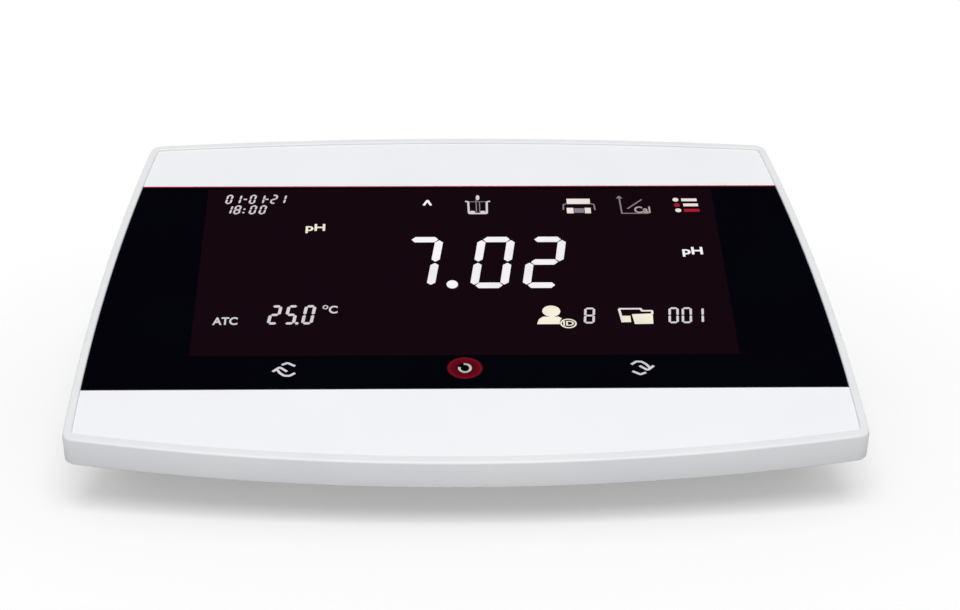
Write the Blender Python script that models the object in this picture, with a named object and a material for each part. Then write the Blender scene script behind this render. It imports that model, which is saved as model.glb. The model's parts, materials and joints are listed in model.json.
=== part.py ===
"""A benchtop pH meter: a white wedge with a black touch display, its electronics and its rear jacks.

X runs to the right, Y to the rear and Z up. The sloping face has its own frame, an empty that carries
everything built square to it: there x is across, y is up the slope and z is out of the face, with the
crest of the rim at z = 0.
"""

import math

import bmesh
import bpy
from mathutils import Vector

MM = 0.001

# ---------------------------------------------------------------- driving sizes
# The body seen square to its sloping face
FRONT_WIDTH = 235.0 * MM
MIDDLE_WIDTH = 227.4 * MM
REAR_WIDTH = 207.4 * MM
FACE_DEPTH = 175.0 * MM
FRONT_BOW = 12.0 * MM
REAR_BOW = 4.8 * MM
BODY_HEIGHT = 69.0 * MM
FACE_TILT = math.radians(16.0)
CORNER_RADIUS = 3.0 * MM

# Upper housing
BAND_HEIGHT = 8.2 * MM
BAND_DRAFT = 0.86 * MM
EDGE_ROUND = 0.5 * MM
CREST_ROUND = 1.2 * MM
RIM_WIDTH = 2.3 * MM
FRONT_RIM_EXTRA = 1.1 * MM
PLATE_THICKNESS = 2.5 * MM
BAND_WALL = 2.4 * MM
OPENING_HALF_WIDTH = 88.5 * MM
OPENING_FRONT = -49.5 * MM
OPENING_REAR = 61.5 * MM
OPENING_RADIUS = 2.0 * MM

# Face sheets
SHEET_DROP = 0.6 * MM
SHEET_THICKNESS = 1.2 * MM
SHEET_CORNER = 1.5 * MM
LENS_CORNER = 0.3 * MM
LENS_FRONT = -52.2 * MM
LENS_REAR = 57.6 * MM
KEY_LINE = -43.0 * MM
HAND_KEY_OFFSET = 53.9 * MM

# Clearances
GAP = 0.3 * MM
PILOT_CLEARANCE = 0.1 * MM

# Display stack
SENSOR_THICKNESS = 0.4 * MM
SENSOR_MARGIN = 0.7 * MM
GLASS_THICKNESS = 2.2 * MM
GLASS_CORNER = 0.5 * MM
GLASS_HALF_WIDTH = 84.6 * MM
GLASS_FRONT = -36.3 * MM
GLASS_REAR = 59.0 * MM
BACKLIGHT_THICKNESS = 4.0 * MM
TRAY_WALL = 1.4 * MM
TRAY_CORNER = 1.0 * MM
TRAY_FLOOR = 1.2 * MM
TRAY_FRONT = -49.0 * MM
KEY_BOARD_DEPTH = 8.8 * MM
KEY_BOARD_HALF_WIDTH = 62.0 * MM
RING_RADIUS = 4.4 * MM
RING_BORE = 3.0 * MM
KEY_PART_HEIGHT = 2.9 * MM
HAND_SENSOR_SIZE = (8.0 * MM, 5.0 * MM)
TRAY_EAR_DROP = 4.0 * MM
TRAY_EAR_THICKNESS = 2.0 * MM
TRAY_EAR_REACH = 5.0 * MM
TRAY_EAR_DEPTH = 8.0 * MM
TRAY_EAR_YS = (-28.0 * MM, 40.0 * MM)

# Boards
BOARD_THICKNESS = 1.6 * MM
STANDOFF_LENGTH = 3.0 * MM
STANDOFF_RADIUS = 3.0 * MM
MAIN_BOARD_HALF_WIDTH = 75.0 * MM
MAIN_BOARD_FRONT = -35.0 * MM
MAIN_BOARD_REAR = 50.0 * MM
BOARD_SCREW_X = 68.0 * MM
BOARD_SCREW_YS = (-28.0 * MM, 42.0 * MM)
CELL_RADIUS = 10.0 * MM
CELL_HEIGHT = 3.2 * MM
CELL_CUP_WALL = 1.1 * MM
CELL_PLACE = (48.0 * MM, 22.0 * MM)
BUZZER_RADIUS = 6.0 * MM
BUZZER_HEIGHT = 5.5 * MM
BUZZER_PLACE = (-48.0 * MM, 22.0 * MM)
PROCESSOR_SIZE = (14.0 * MM, 14.0 * MM, 1.4 * MM)
PROCESSOR_PLACE = (0.0, 12.0 * MM)
DRIVER_SIZE = (10.0 * MM, 10.0 * MM, 1.2 * MM)
DRIVER_PLACE = (24.0 * MM, -14.0 * MM)

# Flat cables
RIBBON_THICKNESS = 0.4 * MM
RIBBON_LANDING = 8.0 * MM
SLOT_WIDTH = 3.0 * MM
DISPLAY_RIBBON_X = 40.0 * MM
DISPLAY_RIBBON_Y = 30.0 * MM
DISPLAY_RIBBON_HALF = 12.0 * MM
KEY_RIBBON_X = -30.0 * MM
KEY_RIBBON_HALF = 6.0 * MM
CONNECTOR_RIBBON_X = 10.0 * MM
CONNECTOR_RIBBON_Y = 40.0 * MM
CONNECTOR_RIBBON_HALF = 13.0 * MM
CONNECTOR_RIBBON_LEAD = 6.0 * MM

# Base housing
FOOT_PROUD = 2.5 * MM
FOOT_RADIUS = 8.0 * MM
FOOT_SEAT_DEPTH = 1.2 * MM
FOOT_ROUND = 0.8 * MM
BASE_WALL = 2.5 * MM
RIM_SEAT_INSET = 1.7 * MM
RIM_SEAT_WIDTH = 3.0 * MM
REAR_SEAT_WIDTH = 7.0 * MM
SEAL_THICKNESS = 0.7 * MM
LEDGE_DROP = 4.0 * MM
LEDGE_INSET = 3.0 * MM
FLOOR_INSET = 10.0 * MM
FLOOR_EDGE = 1.5 * MM
FRONT_RAMP = 36.0 * MM
BASE_CORNER = 7.0 * MM
PANEL_SETBACK = 75.0 * MM
PANEL_ROW_HEIGHT = 30.0 * MM
LABEL_WIDTH = 70.0 * MM
LABEL_DEPTH = 38.0 * MM
LABEL_Y = 14.0 * MM
LABEL_RECESS = 0.9 * MM
LABEL_THICKNESS = 0.5 * MM

# Screws
SCREW_RADIUS = 1.5 * MM
SCREW_HEAD_RADIUS = 2.8 * MM
SCREW_HEAD_HEIGHT = 1.8 * MM
SCREW_GRIP = 6.0 * MM
BOSS_RADIUS = 3.6 * MM
WELL_RADIUS = 3.3 * MM
WELL_WALL = 1.7 * MM
BOSS_WEB = 3.0 * MM
UPPER_BOSS_LENGTH = 9.0 * MM
SMALL_SCREW_RADIUS = 1.0 * MM
SMALL_HEAD_RADIUS = 2.0 * MM
SMALL_HEAD_HEIGHT = 1.4 * MM
SMALL_SCREW_GRIP = 3.0 * MM
# The first number is how far in from the side of the body, and the second how far up the face
HOUSING_SCREW_PLACES = ((18.8 * MM, -50.0 * MM), (17.2 * MM, 6.0 * MM), (15.8 * MM, 58.0 * MM))
FOOT_PLACES = ((39.8 * MM, -30.0 * MM), (43.0 * MM, 60.0 * MM))

# Rear jacks: distance across from the middle
PH_JACK_X = -72.0 * MM
REFERENCE_JACK_X = -53.0 * MM
TEMPERATURE_JACK_X = -38.0 * MM
STIRRER_JACK_X = -23.0 * MM
USB_A_X = -3.0 * MM
USB_B_X = 18.0 * MM
SERIAL_PORT_X = 47.0 * MM
POWER_INLET_X = 75.0 * MM
JACK_BODY_DEPTH = 9.2 * MM
BARREL_RADIUS = 4.8 * MM
BARREL_LENGTH = 12.0 * MM
BARREL_BORE = 4.1 * MM
JACK_NUT_THICKNESS = 2.4 * MM
JACK_NUT_ACROSS = 14.0 * MM
LUG_RADIUS = 0.95 * MM
LUG_REACH = 6.3 * MM
LUG_FROM_PANEL = 8.6 * MM
PH_BODY_RADIUS = 7.0 * MM
INSULATOR_BASE = 3.0 * MM
INSULATOR_RADIUS = 2.4 * MM
INSULATOR_END = 9.5 * MM
CONTACT_RADIUS = 1.1 * MM
CONTACT_START = 4.3 * MM
REFERENCE_BODY = 4.5 * MM
REFERENCE_NOSE = 3.4 * MM
REFERENCE_LENGTH = 3.0 * MM
REFERENCE_BORE = 1.2 * MM
TEMPERATURE_BODY = 6.0 * MM
TEMPERATURE_NOSE = 4.15 * MM
TEMPERATURE_LENGTH = 8.5 * MM
TEMPERATURE_BORE = 1.7 * MM
STIRRER_BODY = 5.0 * MM
STIRRER_NOSE = 4.2 * MM
STIRRER_LENGTH = 2.5 * MM
STIRRER_BORE = 1.9 * MM
SMALL_BORE_DEPTH = 8.0 * MM
USB_A_SIZE = (13.2 * MM, 5.8 * MM)
USB_A_MOUTH = (12.4 * MM, 5.0 * MM)
USB_A_TONGUE = (11.1 * MM, 1.8 * MM)
USB_A_TONGUE_SHIFT = 1.2 * MM
USB_B_SIZE = (12.0 * MM, 11.0 * MM)
USB_B_MOUTH = (8.6 * MM, 7.8 * MM)
USB_B_TONGUE = (5.6 * MM, 3.2 * MM)
TONGUE_SHORT = 1.0 * MM
INLET_SIZE = (9.0 * MM, 11.0 * MM)
INLET_PIN = 1.0 * MM
INLET_BORE = 3.2 * MM
PORT_END = 1.2 * MM
PORT_DEPTH = 9.0 * MM
SERIAL_HALF_WIDTH = 8.3 * MM
SERIAL_HALF_HEIGHT = 4.3 * MM
SERIAL_SIDE_SLOPE = 0.17
SERIAL_CORNER = 2.0 * MM
SERIAL_SHELL_END = 6.0 * MM
SERIAL_PLATE = (30.8 * MM, 12.5 * MM, 0.8 * MM)
JACKSCREW_OFFSET = 12.5 * MM
JACKSCREW_SHAFT = 1.4 * MM
JACKSCREW_HEX = 2.7 * MM
JACKSCREW_HEAD = 4.5 * MM
JACKSCREW_THREAD = 0.9 * MM
JACKSCREW_REACH = 3.0 * MM
CONNECTOR_BOARD_SIZE = (168.0 * MM, 30.0 * MM)
SHIELD_SIZE = (30.0 * MM, 7.0 * MM, 22.0 * MM)
SHIELD_WALL = 0.5 * MM
SHIELD_SHIFT = 7.0 * MM

# Shorting cap
SLEEVE_RADIUS = 7.2 * MM
SLEEVE_WALL = 1.7 * MM
SLEEVE_LIP = 1.6 * MM
FLANGE_THICKNESS = 1.6 * MM
TAIL_RADIUS = 4.0 * MM
TAIL_LENGTH = 3.2 * MM
PIN_RADIUS = 0.5 * MM
PIN_END = 6.0 * MM
CAP_TUBE_END = 5.0 * MM
CAP_TUBE_WALL = 1.0 * MM
UNLOCK_TURN = math.radians(90.0)
UNLOCK_TRAVEL = 2.0 * MM

# How finely round shapes are drawn
SIDE_STEPS = 10
CORNER_STEPS = 4
ROUND_STEPS = 24
SMALL_ROUND_STEPS = 12

# ---------------------------------------------------------------- levels worked out from those sizes
SHEET_BACK = -(SHEET_DROP + SHEET_THICKNESS)
PLATE_TOP = SHEET_BACK - GAP
PLATE_BACK = PLATE_TOP - PLATE_THICKNESS
SENSOR_TOP = SHEET_BACK - GAP
SENSOR_BACK = SENSOR_TOP - SENSOR_THICKNESS
TRAY_TOP = SENSOR_BACK - GAP
GLASS_BACK = TRAY_TOP - GLASS_THICKNESS
BACKLIGHT_TOP = GLASS_BACK - GAP
BACKLIGHT_BACK = BACKLIGHT_TOP - BACKLIGHT_THICKNESS
TRAY_FLOOR_TOP = BACKLIGHT_BACK - GAP
TRAY_BACK = TRAY_FLOOR_TOP - TRAY_FLOOR
MAIN_BOARD_TOP = TRAY_BACK - STANDOFF_LENGTH - GAP
MAIN_BOARD_BACK = MAIN_BOARD_TOP - BOARD_THICKNESS
CHIP_TOP = MAIN_BOARD_BACK - GAP
KEY_BOARD_TOP = TRAY_TOP - KEY_PART_HEIGHT - GAP
TRAY_EAR_TOP = TRAY_TOP - TRAY_EAR_DROP
TRAY_EAR_X = GLASS_HALF_WIDTH + GAP + TRAY_WALL + TRAY_EAR_REACH
SEAL_TOP = -BAND_HEIGHT - GAP
SEAT_LEVEL = SEAL_TOP - SEAL_THICKNESS - GAP
LEDGE_LEVEL = SEAT_LEVEL - LEDGE_DROP

CREST_INSET = RIM_WIDTH * 0.4
FACE_CENTRE_HEIGHT = BODY_HEIGHT - (FACE_DEPTH / 2 - CREST_INSET) * math.sin(FACE_TILT)
SLEEVE_START = GAP + JACK_NUT_THICKNESS + GAP
FLANGE_START = BARREL_LENGTH + GAP
SLEEVE_LIP_START = FLANGE_START + FLANGE_THICKNESS + GAP
CAP_END = SLEEVE_LIP_START + SLEEVE_LIP + TAIL_LENGTH
FRONT_REACH = FACE_DEPTH / 2 * math.cos(FACE_TILT) - CREST_ROUND * math.sin(FACE_TILT)
FACE_CENTRE_Y = (FRONT_REACH - PANEL_SETBACK - CAP_END) / 2
PANEL_Y = FACE_CENTRE_Y + PANEL_SETBACK
JACK_SHOULDER = -BASE_WALL - GAP
JACK_START = JACK_SHOULDER - JACK_BODY_DEPTH
CONNECTOR_BOARD_Y = PANEL_Y + JACK_START - GAP



# ---------------------------------------------------------------- scene, materials and mesh helpers
def clear_scene():
    for old in list(bpy.data.objects):
        bpy.data.objects.remove(old, do_unlink=True)


def make_material(name, colour, roughness, metallic=0.0):
    material = bpy.data.materials.new(name)
    material.use_nodes = True
    shader = material.node_tree.nodes["Principled BSDF"]
    shader.inputs["Base Color"].default_value = (*colour, 1.0)
    shader.inputs["Roughness"].default_value = roughness
    shader.inputs["Metallic"].default_value = metallic
    material.diffuse_color = (*colour, 1.0)
    return material


def is_bent(face):
    """Whether a four-sided face is out of flat, so that a Boolean would cut it at a guess."""
    off = face.verts[3].co - face.verts[0].co
    across = face.verts[1].co - face.verts[0].co
    along = face.verts[2].co - face.verts[0].co
    normal = across.cross(along)
    return abs(off.dot(normal.normalized())) > 1e-6


def add_object(name, points, faces, material=None, parent=None):
    mesh = bpy.data.meshes.new(name)
    mesh.from_pydata(points, [], faces)
    shape = bmesh.new()
    shape.from_mesh(mesh)
    bmesh.ops.remove_doubles(shape, verts=shape.verts, dist=1e-7)
    bent = [face for face in shape.faces if len(face.verts) == 4 and is_bent(face)]
    bmesh.ops.triangulate(shape, faces=bent)
    bmesh.ops.recalc_face_normals(shape, faces=shape.faces)
    shape.to_mesh(mesh)
    shape.free()
    mesh.shade_smooth()
    mesh.set_sharp_from_angle(angle=math.radians(30.0))
    made = bpy.data.objects.new(name, mesh)
    bpy.context.scene.collection.objects.link(made)
    if material:
        mesh.materials.append(material)
    if parent:
        made.parent = parent
    return made


def loft(name, loops, material=None, parent=None, closed=False):
    """Skin through loops with equal point counts. A closed loft returns to its first loop."""
    count = len(loops[0])
    points = [point for loop in loops for point in loop]
    faces = []
    spans = len(loops) if closed else len(loops) - 1
    for span in range(spans):
        low = span * count
        high = (span + 1) % len(loops) * count
        for i in range(count):
            j = (i + 1) % count
            faces.append((low + i, low + j, high + j, high + i))
    if not closed:
        faces.append(tuple(reversed(range(count))))
        faces.append(tuple(range((len(loops) - 1) * count, len(loops) * count)))
    return add_object(name, points, faces, material, parent)


def turned(name, profile, material=None, parent=None, steps=ROUND_STEPS):
    """A solid of revolution about local Z. The profile runs from axis to axis as (radius, z)."""
    points = []
    rows = []
    for radius, z in profile:
        if radius == 0.0:
            rows.append([len(points)])
            points.append((0.0, 0.0, z))
            continue
        rows.append([len(points) + i for i in range(steps)])
        for i in range(steps):
            angle = 2 * math.pi * i / steps
            points.append((radius * math.cos(angle), radius * math.sin(angle), z))
    if profile[0][0] > 0.0:
        rows.append(rows[0])
    faces = []
    for low, high in zip(rows, rows[1:]):
        for i in range(steps):
            j = (i + 1) % steps
            corner = [low[i % len(low)], low[j % len(low)], high[j % len(high)], high[i % len(high)]]
            faces.append(tuple(dict.fromkeys(corner)))
    return add_object(name, points, faces, material, parent)


def box(name, centre, size, material=None, parent=None):
    """A box by its centre and its full sizes."""
    loops = []
    for z in (-size[2] / 2, size[2] / 2):
        loop = []
        for x, y in ((-1, -1), (1, -1), (1, 1), (-1, 1)):
            loop.append((x * size[0] / 2, y * size[1] / 2, z))
        loops.append(loop)
    made = loft(name, loops, material, parent)
    made.location = centre
    return made


def hide_helper(helper):
    helper.hide_render = True
    helper.display_type = "WIRE"


def cut(target, cutter, solver="EXACT"):
    """Takes the cutter away from the target and keeps it as a hidden guide."""
    hide_helper(cutter)
    modifier = target.modifiers.new("cut " + cutter.name, "BOOLEAN")
    modifier.operation = "DIFFERENCE"
    modifier.solver = solver
    modifier.object = cutter


def join(target, added):
    """Makes a hidden helper part of the target's solid."""
    hide_helper(added)
    modifier = target.modifiers.new("join " + added.name, "BOOLEAN")
    modifier.operation = "UNION"
    modifier.object = added


# ---------------------------------------------------------------- outlines
def side_half_width(y):
    """Half the body's width at y up the face: a parabola through its three widths."""
    front_y = FRONT_BOW - FACE_DEPTH / 2
    rear_y = FACE_DEPTH / 2 - REAR_BOW
    front = FRONT_WIDTH / 2 - MIDDLE_WIDTH / 2
    rear = REAR_WIDTH / 2 - MIDDLE_WIDTH / 2
    curve = (rear / rear_y - front / front_y) / (rear_y - front_y)
    slope = rear / rear_y - curve * rear_y
    return MIDDLE_WIDTH / 2 + slope * y + curve * y * y


def between(start, end, steps):
    """Evenly spaced values from start to end, both included."""
    return [start + (end - start) * i / steps for i in range(steps + 1)]


def rounded_corner(start, corner, end):
    """Points of a rounded corner, between its two ends and without them."""
    points = []
    for i in range(1, CORNER_STEPS):
        t = i / CORNER_STEPS
        x = (1 - t) ** 2 * start[0] + 2 * t * (1 - t) * corner[0] + t * t * end[0]
        y = (1 - t) ** 2 * start[1] + 2 * t * (1 - t) * corner[1] + t * t * end[1]
        points.append((x, y))
    return points


def ring(front_y, rear_y, front_bow, rear_bow, inset, radius, half_width=side_half_width):
    """A closed outline: bowed front and rear edges, and sides held inset from the body's sides."""

    def front_edge(x):
        return front_y + front_bow * (2 * x / FRONT_WIDTH) ** 2

    def rear_edge(x):
        return rear_y - rear_bow * (2 * x / REAR_WIDTH) ** 2

    def side(y):
        return half_width(y) - inset

    def corner(edge, start_y):
        x = side(start_y)
        for _ in range(8):
            x = side(edge(x))
        return x, edge(x)

    front_x, front_corner_y = corner(front_edge, front_y)
    rear_x, rear_corner_y = corner(rear_edge, rear_y)
    front_end = (front_x - radius, front_edge(front_x - radius))
    side_start = (side(front_corner_y + radius), front_corner_y + radius)
    side_end = (side(rear_corner_y - radius), rear_corner_y - radius)
    rear_start = (rear_x - radius, rear_edge(rear_x - radius))
    right = [(side(y), y) for y in between(side_start[1], side_end[1], SIDE_STEPS)]
    front = [(x, front_edge(x)) for x in between(0.0, front_end[0], SIDE_STEPS // 2)]
    rear = [(x, rear_edge(x)) for x in between(rear_start[0], 0.0, SIDE_STEPS // 2)]
    half = front + rounded_corner(front_end, (front_x, front_corner_y), side_start)
    half += right + rounded_corner(side_end, (rear_x, rear_corner_y), rear_start) + rear
    mirrored = [(-x, y) for x, y in reversed(half[1:-1])]
    return half + mirrored


def body_ring(inset, radius=CORNER_RADIUS):
    front_y = inset - FACE_DEPTH / 2
    return ring(front_y, -front_y, FRONT_BOW, REAR_BOW, inset, radius)


def band_ring(inset, level):
    """The band's outer face below the crest. Its front stands upright, although the face slopes."""
    forward = (-CREST_ROUND - level) * math.tan(FACE_TILT)
    front_y = inset - FACE_DEPTH / 2
    outline = ring(front_y - forward, -front_y, FRONT_BOW, REAR_BOW, inset, CORNER_RADIUS)
    return at_level(outline, level)


def rim_ring(inset, radius=CORNER_RADIUS):
    """The rim's inner side. The rim is wider along the front."""
    front_y = inset + FRONT_RIM_EXTRA - FACE_DEPTH / 2
    return ring(front_y, FACE_DEPTH / 2 - inset, FRONT_BOW, REAR_BOW, inset, radius)


def rectangle_ring(half_width, front_y, rear_y, radius):
    return ring(front_y, rear_y, 0.0, 0.0, 0.0, radius, half_width=lambda y: half_width)


def at_level(outline, z):
    return [(x, y, z) for x, y in outline]


def slab(name, outline, top, back, material, parent):
    """A flat plate with this outline between two levels."""
    return loft(name, [at_level(outline, back), at_level(outline, top)], material, parent)


# ---------------------------------------------------------------- places shared by several pieces
def face_to_world(point):
    x, y, z = point
    world_y = FACE_CENTRE_Y + y * math.cos(FACE_TILT) - z * math.sin(FACE_TILT)
    world_z = FACE_CENTRE_HEIGHT + y * math.sin(FACE_TILT) + z * math.cos(FACE_TILT)
    return (x, world_y, world_z)


def level_height(level, y):
    """The height above the table, at world y, of a level of the face."""
    return FACE_CENTRE_HEIGHT + (y - FACE_CENTRE_Y) * math.tan(FACE_TILT) + level / math.cos(FACE_TILT)


def boss_joint_height(y):
    return level_height(PLATE_BACK, y) - UPPER_BOSS_LENGTH


def mirrored_places(places):
    """Each place on the right and then on the left, with the side's name."""
    named = []
    for x, y in places:
        named.append(("right", x, y))
        named.append(("left", -x, y))
    return named


def places_from_side(rows, places, least_x=0.0):
    """Named places held in from the side of the body, and never nearer to its middle than least_x."""
    found = []
    for row, (inset, y) in zip(rows, places):
        x = max(side_half_width(y) - inset, least_x)
        for side, side_x, side_y in mirrored_places([(x, y)]):
            found.append((row + "_" + side, side_x, FACE_CENTRE_Y + side_y))
    return found


def housing_screw_places():
    """The screws follow the sides, with their bosses clear of the display tray."""
    tray_side = GLASS_HALF_WIDTH + GAP + TRAY_WALL
    rows = ("front", "middle", "rear")
    return places_from_side(rows, HOUSING_SCREW_PLACES, tray_side + BOSS_RADIUS + GAP)


def foot_places():
    return places_from_side(("front", "rear"), FOOT_PLACES)


# ---------------------------------------------------------------- upper housing and its face
def build_upper_housing(face, white):
    """Moulded frame: outer band, raised rim, sunk plate with the display opening, screw bosses."""
    opening = rectangle_ring(OPENING_HALF_WIDTH, OPENING_FRONT, OPENING_REAR, OPENING_RADIUS)
    inner_wall = BAND_DRAFT + BAND_WALL
    loops = [
        band_ring(BAND_DRAFT + EDGE_ROUND, -BAND_HEIGHT),
        band_ring(BAND_DRAFT, -BAND_HEIGHT + EDGE_ROUND),
        at_level(body_ring(0.0), -CREST_ROUND),
        at_level(body_ring(CREST_INSET * 0.3), -CREST_ROUND * 0.3),
        at_level(body_ring(CREST_INSET), 0.0),
        at_level(rim_ring(RIM_WIDTH * 0.8), 0.0),
        at_level(rim_ring(RIM_WIDTH, SHEET_CORNER), -SHEET_DROP * 0.5),
        at_level(rim_ring(RIM_WIDTH, SHEET_CORNER), PLATE_TOP),
        at_level(opening, PLATE_TOP),
        at_level(opening, PLATE_BACK),
        at_level(body_ring(inner_wall), PLATE_BACK),
        at_level(body_ring(inner_wall), -BAND_HEIGHT),
    ]
    housing = loft("upper_housing", loops, white, face, closed=True)
    for name, x, y in housing_screw_places():
        join(housing, upper_boss(name, x, y))
    for name, x, y in tray_ear_places():
        join(housing, tray_boss(name, x, y, face))
    for name, x, y in housing_screw_places():
        profile = pilot_profile(SCREW_RADIUS, SCREW_GRIP)
        pilot = turned("pilot_" + name, profile, steps=SMALL_ROUND_STEPS)
        pilot.location = (x, y, boss_joint_height(y))
        cut(housing, pilot)
    for name, x, y in tray_ear_places():
        profile = pilot_profile(SMALL_SCREW_RADIUS, SMALL_SCREW_GRIP)
        pilot = turned("tray_pilot_" + name, profile, None, face, SMALL_ROUND_STEPS)
        pilot.location = (x, y, TRAY_EAR_TOP)
        cut(housing, pilot)


def pilot_profile(screw_radius, grip):
    """Blind hole for a screw, from below the boss to just past the screw's point."""
    radius = screw_radius + PILOT_CLEARANCE
    length = grip + GAP
    return [(0.0, -GAP), (radius, -GAP), (radius, length), (0.0, length)]


def upper_boss(name, x, y):
    """Upright screw boss, its top sunk in the sloping plate."""
    centre_level = PLATE_BACK + PLATE_THICKNESS * 0.4
    low = []
    high = []
    for i in range(ROUND_STEPS):
        angle = 2 * math.pi * i / ROUND_STEPS
        point_x = x + BOSS_RADIUS * math.cos(angle)
        point_y = y + BOSS_RADIUS * math.sin(angle)
        low.append((point_x, point_y, boss_joint_height(y)))
        high.append((point_x, point_y, level_height(centre_level, point_y)))
    return loft("boss_" + name, [low, high])


def tray_ear_places():
    found = []
    for row, y in zip(("front", "rear"), TRAY_EAR_YS):
        for side, x, ear_y in mirrored_places([(TRAY_EAR_X, y)]):
            found.append((row + "_" + side, x, ear_y))
    return found


def tray_boss(name, x, y, face):
    """Short boss under the plate that a display tray ear screws to."""
    top = PLATE_BACK + PLATE_THICKNESS * 0.4
    low = TRAY_EAR_TOP + GAP
    profile = [(0.0, low), (STANDOFF_RADIUS, low), (STANDOFF_RADIUS, top), (0.0, top)]
    boss = turned("tray_boss_" + name, profile, None, face, SMALL_ROUND_STEPS)
    boss.location = (x, y, 0.0)
    return boss


def build_face_sheets(face, white, black):
    """Two white fascia sheets with the black touch lens between them, bonded on the sunk plate."""
    inset = RIM_WIDTH + GAP
    rear = ring(LENS_REAR + GAP, FACE_DEPTH / 2 - inset, 0.0, REAR_BOW, inset, SHEET_CORNER)
    slab("rear_fascia", rear, -SHEET_DROP, SHEET_BACK, white, face)
    lens = ring(LENS_FRONT, LENS_REAR, 0.0, 0.0, inset, LENS_CORNER)
    slab("touch_lens", lens, -SHEET_DROP, SHEET_BACK, black, face)
    front_y = inset + FRONT_RIM_EXTRA - FACE_DEPTH / 2
    front = ring(front_y, LENS_FRONT - GAP, FRONT_BOW, 0.0, inset, SHEET_CORNER)
    slab("front_fascia", front, -SHEET_DROP, SHEET_BACK, white, face)


# ---------------------------------------------------------------- display and keys
def build_display(face, film, glass, frost, black):
    """Touch film, display glass and backlight, stacked in a moulded tray."""
    film_outline = rectangle_ring(
        OPENING_HALF_WIDTH - SENSOR_MARGIN,
        OPENING_FRONT + SENSOR_MARGIN,
        OPENING_REAR - SENSOR_MARGIN,
        OPENING_RADIUS,
    )
    slab("touch_sensor", film_outline, SENSOR_TOP, SENSOR_BACK, film, face)
    glass_outline = rectangle_ring(GLASS_HALF_WIDTH, GLASS_FRONT, GLASS_REAR, GLASS_CORNER)
    slab("lcd_glass", glass_outline, TRAY_TOP, GLASS_BACK, glass, face)
    slab("lcd_backlight", glass_outline, BACKLIGHT_TOP, BACKLIGHT_BACK, frost, face)
    build_display_tray(face, black)


def tray_pocket(name, half_width, front_y, rear_y, floor, face):
    middle = ((front_y + rear_y) / 2, rear_y - front_y)
    height = TRAY_TOP - floor + GAP
    centre = (0.0, middle[0], floor + height / 2)
    return box(name, centre, (2 * half_width, middle[1], height), None, face)


def build_display_tray(face, black):
    outer_half_width = GLASS_HALF_WIDTH + GAP + TRAY_WALL
    tray_rear = GLASS_REAR + GAP + TRAY_WALL
    outline = rectangle_ring(outer_half_width, TRAY_FRONT, tray_rear, TRAY_CORNER)
    tray = slab("display_tray", outline, TRAY_TOP, TRAY_BACK, black, face)
    for name, x, y in tray_ear_places():
        inner_x = GLASS_HALF_WIDTH
        outer_x = TRAY_EAR_X + TRAY_EAR_DEPTH / 2
        ear_x = math.copysign((inner_x + outer_x) / 2, x)
        size = (outer_x - inner_x, TRAY_EAR_DEPTH, TRAY_EAR_THICKNESS)
        centre = (ear_x, y, TRAY_EAR_TOP - TRAY_EAR_THICKNESS / 2)
        join(tray, box("ear_" + name, centre, size, None, face))
    for name, x, y in board_screw_places():
        low = TRAY_BACK - STANDOFF_LENGTH
        high = TRAY_BACK + TRAY_FLOOR / 2
        profile = [(0.0, low), (STANDOFF_RADIUS, low), (STANDOFF_RADIUS, high), (0.0, high)]
        standoff = turned("standoff_" + name, profile, None, face, SMALL_ROUND_STEPS)
        standoff.location = (x, y, 0.0)
        join(tray, standoff)
    glass_pocket = tray_pocket(
        "glass_pocket", GLASS_HALF_WIDTH + GAP, GLASS_FRONT - GAP, GLASS_REAR + GAP, TRAY_FLOOR_TOP, face
    )
    cut(tray, glass_pocket)
    key_half_width = GLASS_HALF_WIDTH + GAP
    key_rear = GLASS_FRONT - GAP - TRAY_WALL
    key_pocket = tray_pocket(
        "key_pocket", key_half_width, TRAY_FRONT + TRAY_WALL, key_rear, KEY_BOARD_TOP, face
    )
    cut(tray, key_pocket)
    key_seat = tray_pocket(
        "key_seat",
        KEY_BOARD_HALF_WIDTH + GAP,
        TRAY_FRONT + TRAY_WALL,
        key_rear,
        KEY_BOARD_TOP - BOARD_THICKNESS - GAP,
        face,
    )
    cut(tray, key_seat)
    for name, x, y in tray_ear_places():
        profile = through_hole(SMALL_SCREW_RADIUS)
        hole = turned("ear_hole_" + name, profile, None, face, SMALL_ROUND_STEPS)
        hole.location = (x, y, TRAY_EAR_TOP - TRAY_EAR_THICKNESS / 2)
        cut(tray, hole)
    for name, x, y in board_screw_places():
        radius = SMALL_SCREW_RADIUS + PILOT_CLEARANCE
        low = TRAY_BACK - STANDOFF_LENGTH - GAP
        high = low + SMALL_SCREW_GRIP + GAP
        profile = [(0.0, low), (radius, low), (radius, high), (0.0, high)]
        pilot = turned("standoff_pilot_" + name, profile, None, face, SMALL_ROUND_STEPS)
        pilot.location = (x, y, 0.0)
        cut(tray, pilot)
    for name, x, y, half in ribbon_slots():
        depth = 2 * (GLASS_BACK - TRAY_BACK)
        slot = box(name, (x, y, TRAY_BACK), (2 * half, SLOT_WIDTH, depth), None, face)
        cut(tray, slot)


def through_hole(screw_radius):
    radius = screw_radius + GAP
    reach = 2 * BOARD_THICKNESS
    return [(0.0, -reach), (radius, -reach), (radius, reach), (0.0, reach)]


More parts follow.
